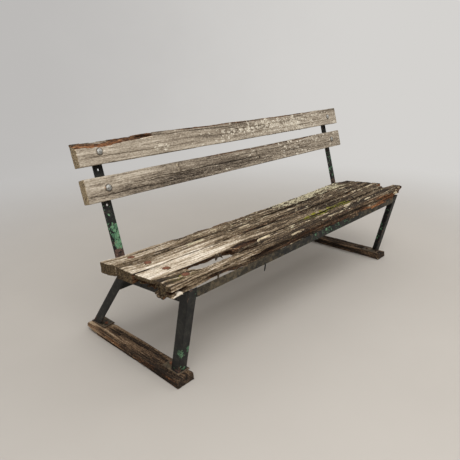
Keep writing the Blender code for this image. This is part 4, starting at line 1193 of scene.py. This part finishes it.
# %% Bars
for node in sorted(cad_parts):
    kind = next((kind for kind in STEEL_PITCH if node.endswith(kind)), None)
    if kind is None:
        continue
    bm = soften(node, OUTER_RADIUS, 0.0 if kind in ("back_upright", "foot_plate") else INNER_RADIUS)
    into_cells(bm, STEEL_PITCH[kind])
    bar = settle(bm, "painted_" + node, paint, [node])
    spots = np.array([vert.co for vert in bar.data.vertices])
    flaky = lumps(spots, (0.09, 0.09, 0.09), 5.0)
    chips = np.maximum(near(spots, GREEN_SPOTS), 0.14 * flaky)
    settled = 0.50 if kind == "foot_plate" else 0.10
    if kind == "front_rail":
        along = spots[:, 0]
        settled = np.interp(along, (-0.45, -0.20, 0.00, 0.25, 0.45), (0.48, 0.26, 0.18, 0.06, 0.38))
        chips = np.maximum(chips, 0.08 + 0.22 * flaky + 0.24 * ease(-np.abs(along - 0.12), -0.26, -0.06))
    decay = np.maximum(near(spots, RUST_SPOTS), 0.05 + 0.40 * lumps(spots, (0.07, 0.07, 0.07), 6.0))
    if kind == "foot_plate":
        decay = np.maximum(decay, 0.72)
    for name, values in (("green", chips), ("rust", decay), ("dust", settled + 0.20 * flaky)):
        keep_values(bar.data, name, values)
    print(f"{bar.name}: {len(bar.data.polygons)} faces")


# %% [markdown]
# ## Fasteners
# The back is held by galvanised bolts with mushroom heads, the seat by flat ones that have
# rusted down into the wood. A bolt is turned, so half of its outline is spun about its axis,
# thread and all. Nuts, washers and hexagon screws come from the packed model with their edges
# taken off.

# %% Metal finishes
zinc = Finish("galvanised")
bloom = zinc.noise((420.0,) * 3, 4.0) - 0.5
grime = zinc.noise((130.0,) * 3, 3.0, 0.6, 2.0) - 0.5
zinc_colour = zinc.ramp(bloom * 1.2 + grime * 1.2 + 0.5, [
    (0.15, (92, 84, 74)), (0.45, (150, 149, 144)), (0.80, (196, 196, 192)),
])
galvanised = zinc.surface(
    Base_Color=zinc_colour, Metallic=0.55, Roughness=bloom * 0.4 + 0.46, Normal=zinc.bump(bloom, 0.35, 0.0006)
)

iron = Finish("rusted_iron")
scale = iron.noise((300.0,) * 3, 5.0) - 0.5
flakes = iron.noise((95.0,) * 3, 4.0, 0.6, 4.0) - 0.5
iron_colour = iron.ramp(scale * 1.3 + flakes + 0.5, [
    (0.15, (54, 32, 23)), (0.50, (110, 66, 45)), (0.85, (156, 108, 80)),
])
along_x = iron.node("ShaderNodeSeparateXYZ", None, {"Vector": iron.place}, out="X")
iron_colour = iron.mix(iron.step(along_x, -0.3, 0.3) * 0.8, iron_colour, (72, 61, 48))
rusty = iron.surface(
    Base_Color=iron_colour, Roughness=scale * 0.2 + 0.86, Normal=iron.bump(scale + flakes, 0.8, 0.0012)
)
print("metal finishes:", galvanised.name, rusty.name)

# %% Turning a bolt
HEAD_STEPS = 10
THREAD_PITCH = 0.0015
THREAD_DEPTH = 0.0007
TIP_CHAMFER = 0.0008
HEAD_FRONT = -0.0396
ZINC_RADIUS, IRON_RADIUS = 0.0004, 0.0005
METAL_CREASE = 30
SIDES = (("left", -1), ("right", 1))


def bolt_outline(head, dome, shank, length, thread):
    """Radius and height down a bolt, from the top of its head at the dome to its threaded tip."""
    rim, core = head / 2, shank / 2
    angles = [i / HEAD_STEPS * math.pi / 2 for i in range(HEAD_STEPS + 1)]
    outline = [(rim * math.sin(a), dome * (0.22 + 0.78 * math.cos(a))) for a in angles]
    outline += [(rim, dome * 0.10), (rim * 0.985, 0.0), (core + 0.0006, 0.0), (core, -0.0006)]
    bottom = TIP_CHAMFER - length
    for turn in range(int(thread / THREAD_PITCH), 0, -1):
        crest = bottom + turn * THREAD_PITCH
        outline += [(core, crest), (core - THREAD_DEPTH, crest - 0.5 * THREAD_PITCH)]
    return outline + [(core, bottom), (core - TIP_CHAMFER, -length), (0.0, -length)]


def turned(outline, place, steps=36):
    """Spin an outline about its own axis and put the body in place."""
    bm = spun(outline, steps)
    bmesh.ops.remove_doubles(bm, verts=bm.verts, dist=1e-6)
    bmesh.ops.transform(bm, matrix=place, verts=bm.verts)
    return bm


BACK_BOLT = bolt_outline(0.024, 0.006, 0.010, 0.0622, 0.020)
SEAT_BOLT = bolt_outline(0.028, 0.0025, 0.008, 0.0564, 0.014)
print("points of a back and a seat bolt's outline:", len(BACK_BOLT), len(SEAT_BOLT))

# %% Bolts, nuts, washers and screws
for side_name, side in SIDES:
    for label, rise in SLAT_RISES.items():
        spot = Matrix.Translation((side * UPRIGHT_X, HEAD_FRONT, rise)) @ Matrix.Rotation(math.pi / 2, 4, "X")
        node = f"back_bolt_{side_name}_{label}"
        settle(turned(BACK_BOLT, BACK_PLACE @ spot), "turned_" + node, galvanised, [node])
    for label in PLANK_LABELS:
        spot = Matrix.Translation((side * SEAT_BOLT_X, plank_middle(label), PLANK_SIZE[2] + FIT_GAP))
        node = f"seat_bolt_{side_name}_{label}"
        settle(turned(SEAT_BOLT, SEAT_PLACE @ spot), "turned_" + node, rusty, [node])
for node in sorted(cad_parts):
    if node.startswith(("back_nut", "back_washer")):
        settle(soften(node, ZINC_RADIUS), "eased_" + node, galvanised, [node], METAL_CREASE)
    elif node.startswith(("seat_nut", "foot_screw")):
        settle(soften(node, IRON_RADIUS), "eased_" + node, rusty, [node], METAL_CREASE)
print("12 turned bolts, 12 nuts, 4 washers and 4 screws")

# %% [markdown]
# ## Welds and a nail
# The bars are held together by weld beads, each a row of small overlapping swellings left by
# the welder's hand. A bead is a turned rod with a scalloped outline, half sunk in both bars.

# %% Where welds run
BEAD_STEP = 0.0042
BEAD_SIDES = 14
NAIL_SIDES = 16
SCALLOP = ((0.72, 0.08), (1.0, 0.45), (0.90, 0.80))
# Label, distance from the middle, start and end as (y, z), and radius.
WELDS = (
    ("front_leg", 0.8080, (-0.2745, 0.3455), (-0.2862, 0.4020), 0.0030),
    ("rear_leg", 0.8080, (0.0560, 0.3185), (0.0170, 0.3650), 0.0030),
    ("front_rail", 0.7730, (-0.3195, 0.3680), (-0.3235, 0.3985), 0.0026),
    ("front_foot", 0.8125, (-0.2490, 0.0410), (-0.2120, 0.0410), 0.0028),
    ("rear_foot", 0.8125, (0.2760, 0.0410), (0.3220, 0.0410), 0.0028),
)
NAIL = (
    (0.0, 0.0), (0.0042, 0.0006), (0.0042, 0.0018), (0.0029, 0.0026),
    (0.0028, 0.016), (0.0027, 0.030), (0.0021, 0.038), (0.0, 0.042),
)
NAIL_BEND = Vector((-0.387, -0.3147, 0.356))
print(len(WELDS), "welds on each side")


# %% Weld beads and a bent nail
def along_line(start, end):
    """A matrix that takes the Z axis to the line between two places."""
    start, end = Vector(start), Vector(end)
    return Matrix.Translation(start) @ (end - start).to_track_quat("Z", "Y").to_matrix().to_4x4()


def bead(label, start, end, radius):
    """A weld bead between two places."""
    length = (Vector(end) - Vector(start)).length
    count = max(3, round(length / BEAD_STEP))
    outline = [(0.0, 0.0)]
    for i in range(count):
        swell = radius * (0.88 + 0.24 * ((i * 7) % 5) / 5)
        outline += [(swell * wide, (i + share) * length / count) for wide, share in SCALLOP]
    outline.append((0.0, length))
    return settle(turned(outline, along_line(start, end), BEAD_SIDES), "weld_" + label, paint)


for side_name, side in SIDES:
    for label, out, start, end, radius in WELDS:
        bead(f"{side_name}_{label}", (side * out, *start), (side * out, *end), radius)
bm = turned(NAIL, along_line((-0.387, -0.313, 0.3722), (-0.387, -0.316, 0.332)), NAIL_SIDES)
tip = [vert for vert in bm.verts if vert.co.z < 0.350]
bmesh.ops.rotate(bm, verts=tip, cent=NAIL_BEND, matrix=Matrix.Rotation(math.radians(16), 3, "Y"))
settle(bm, "bent_nail", paint)
print("10 weld beads and a nail")

# %% [markdown]
# ## Finish
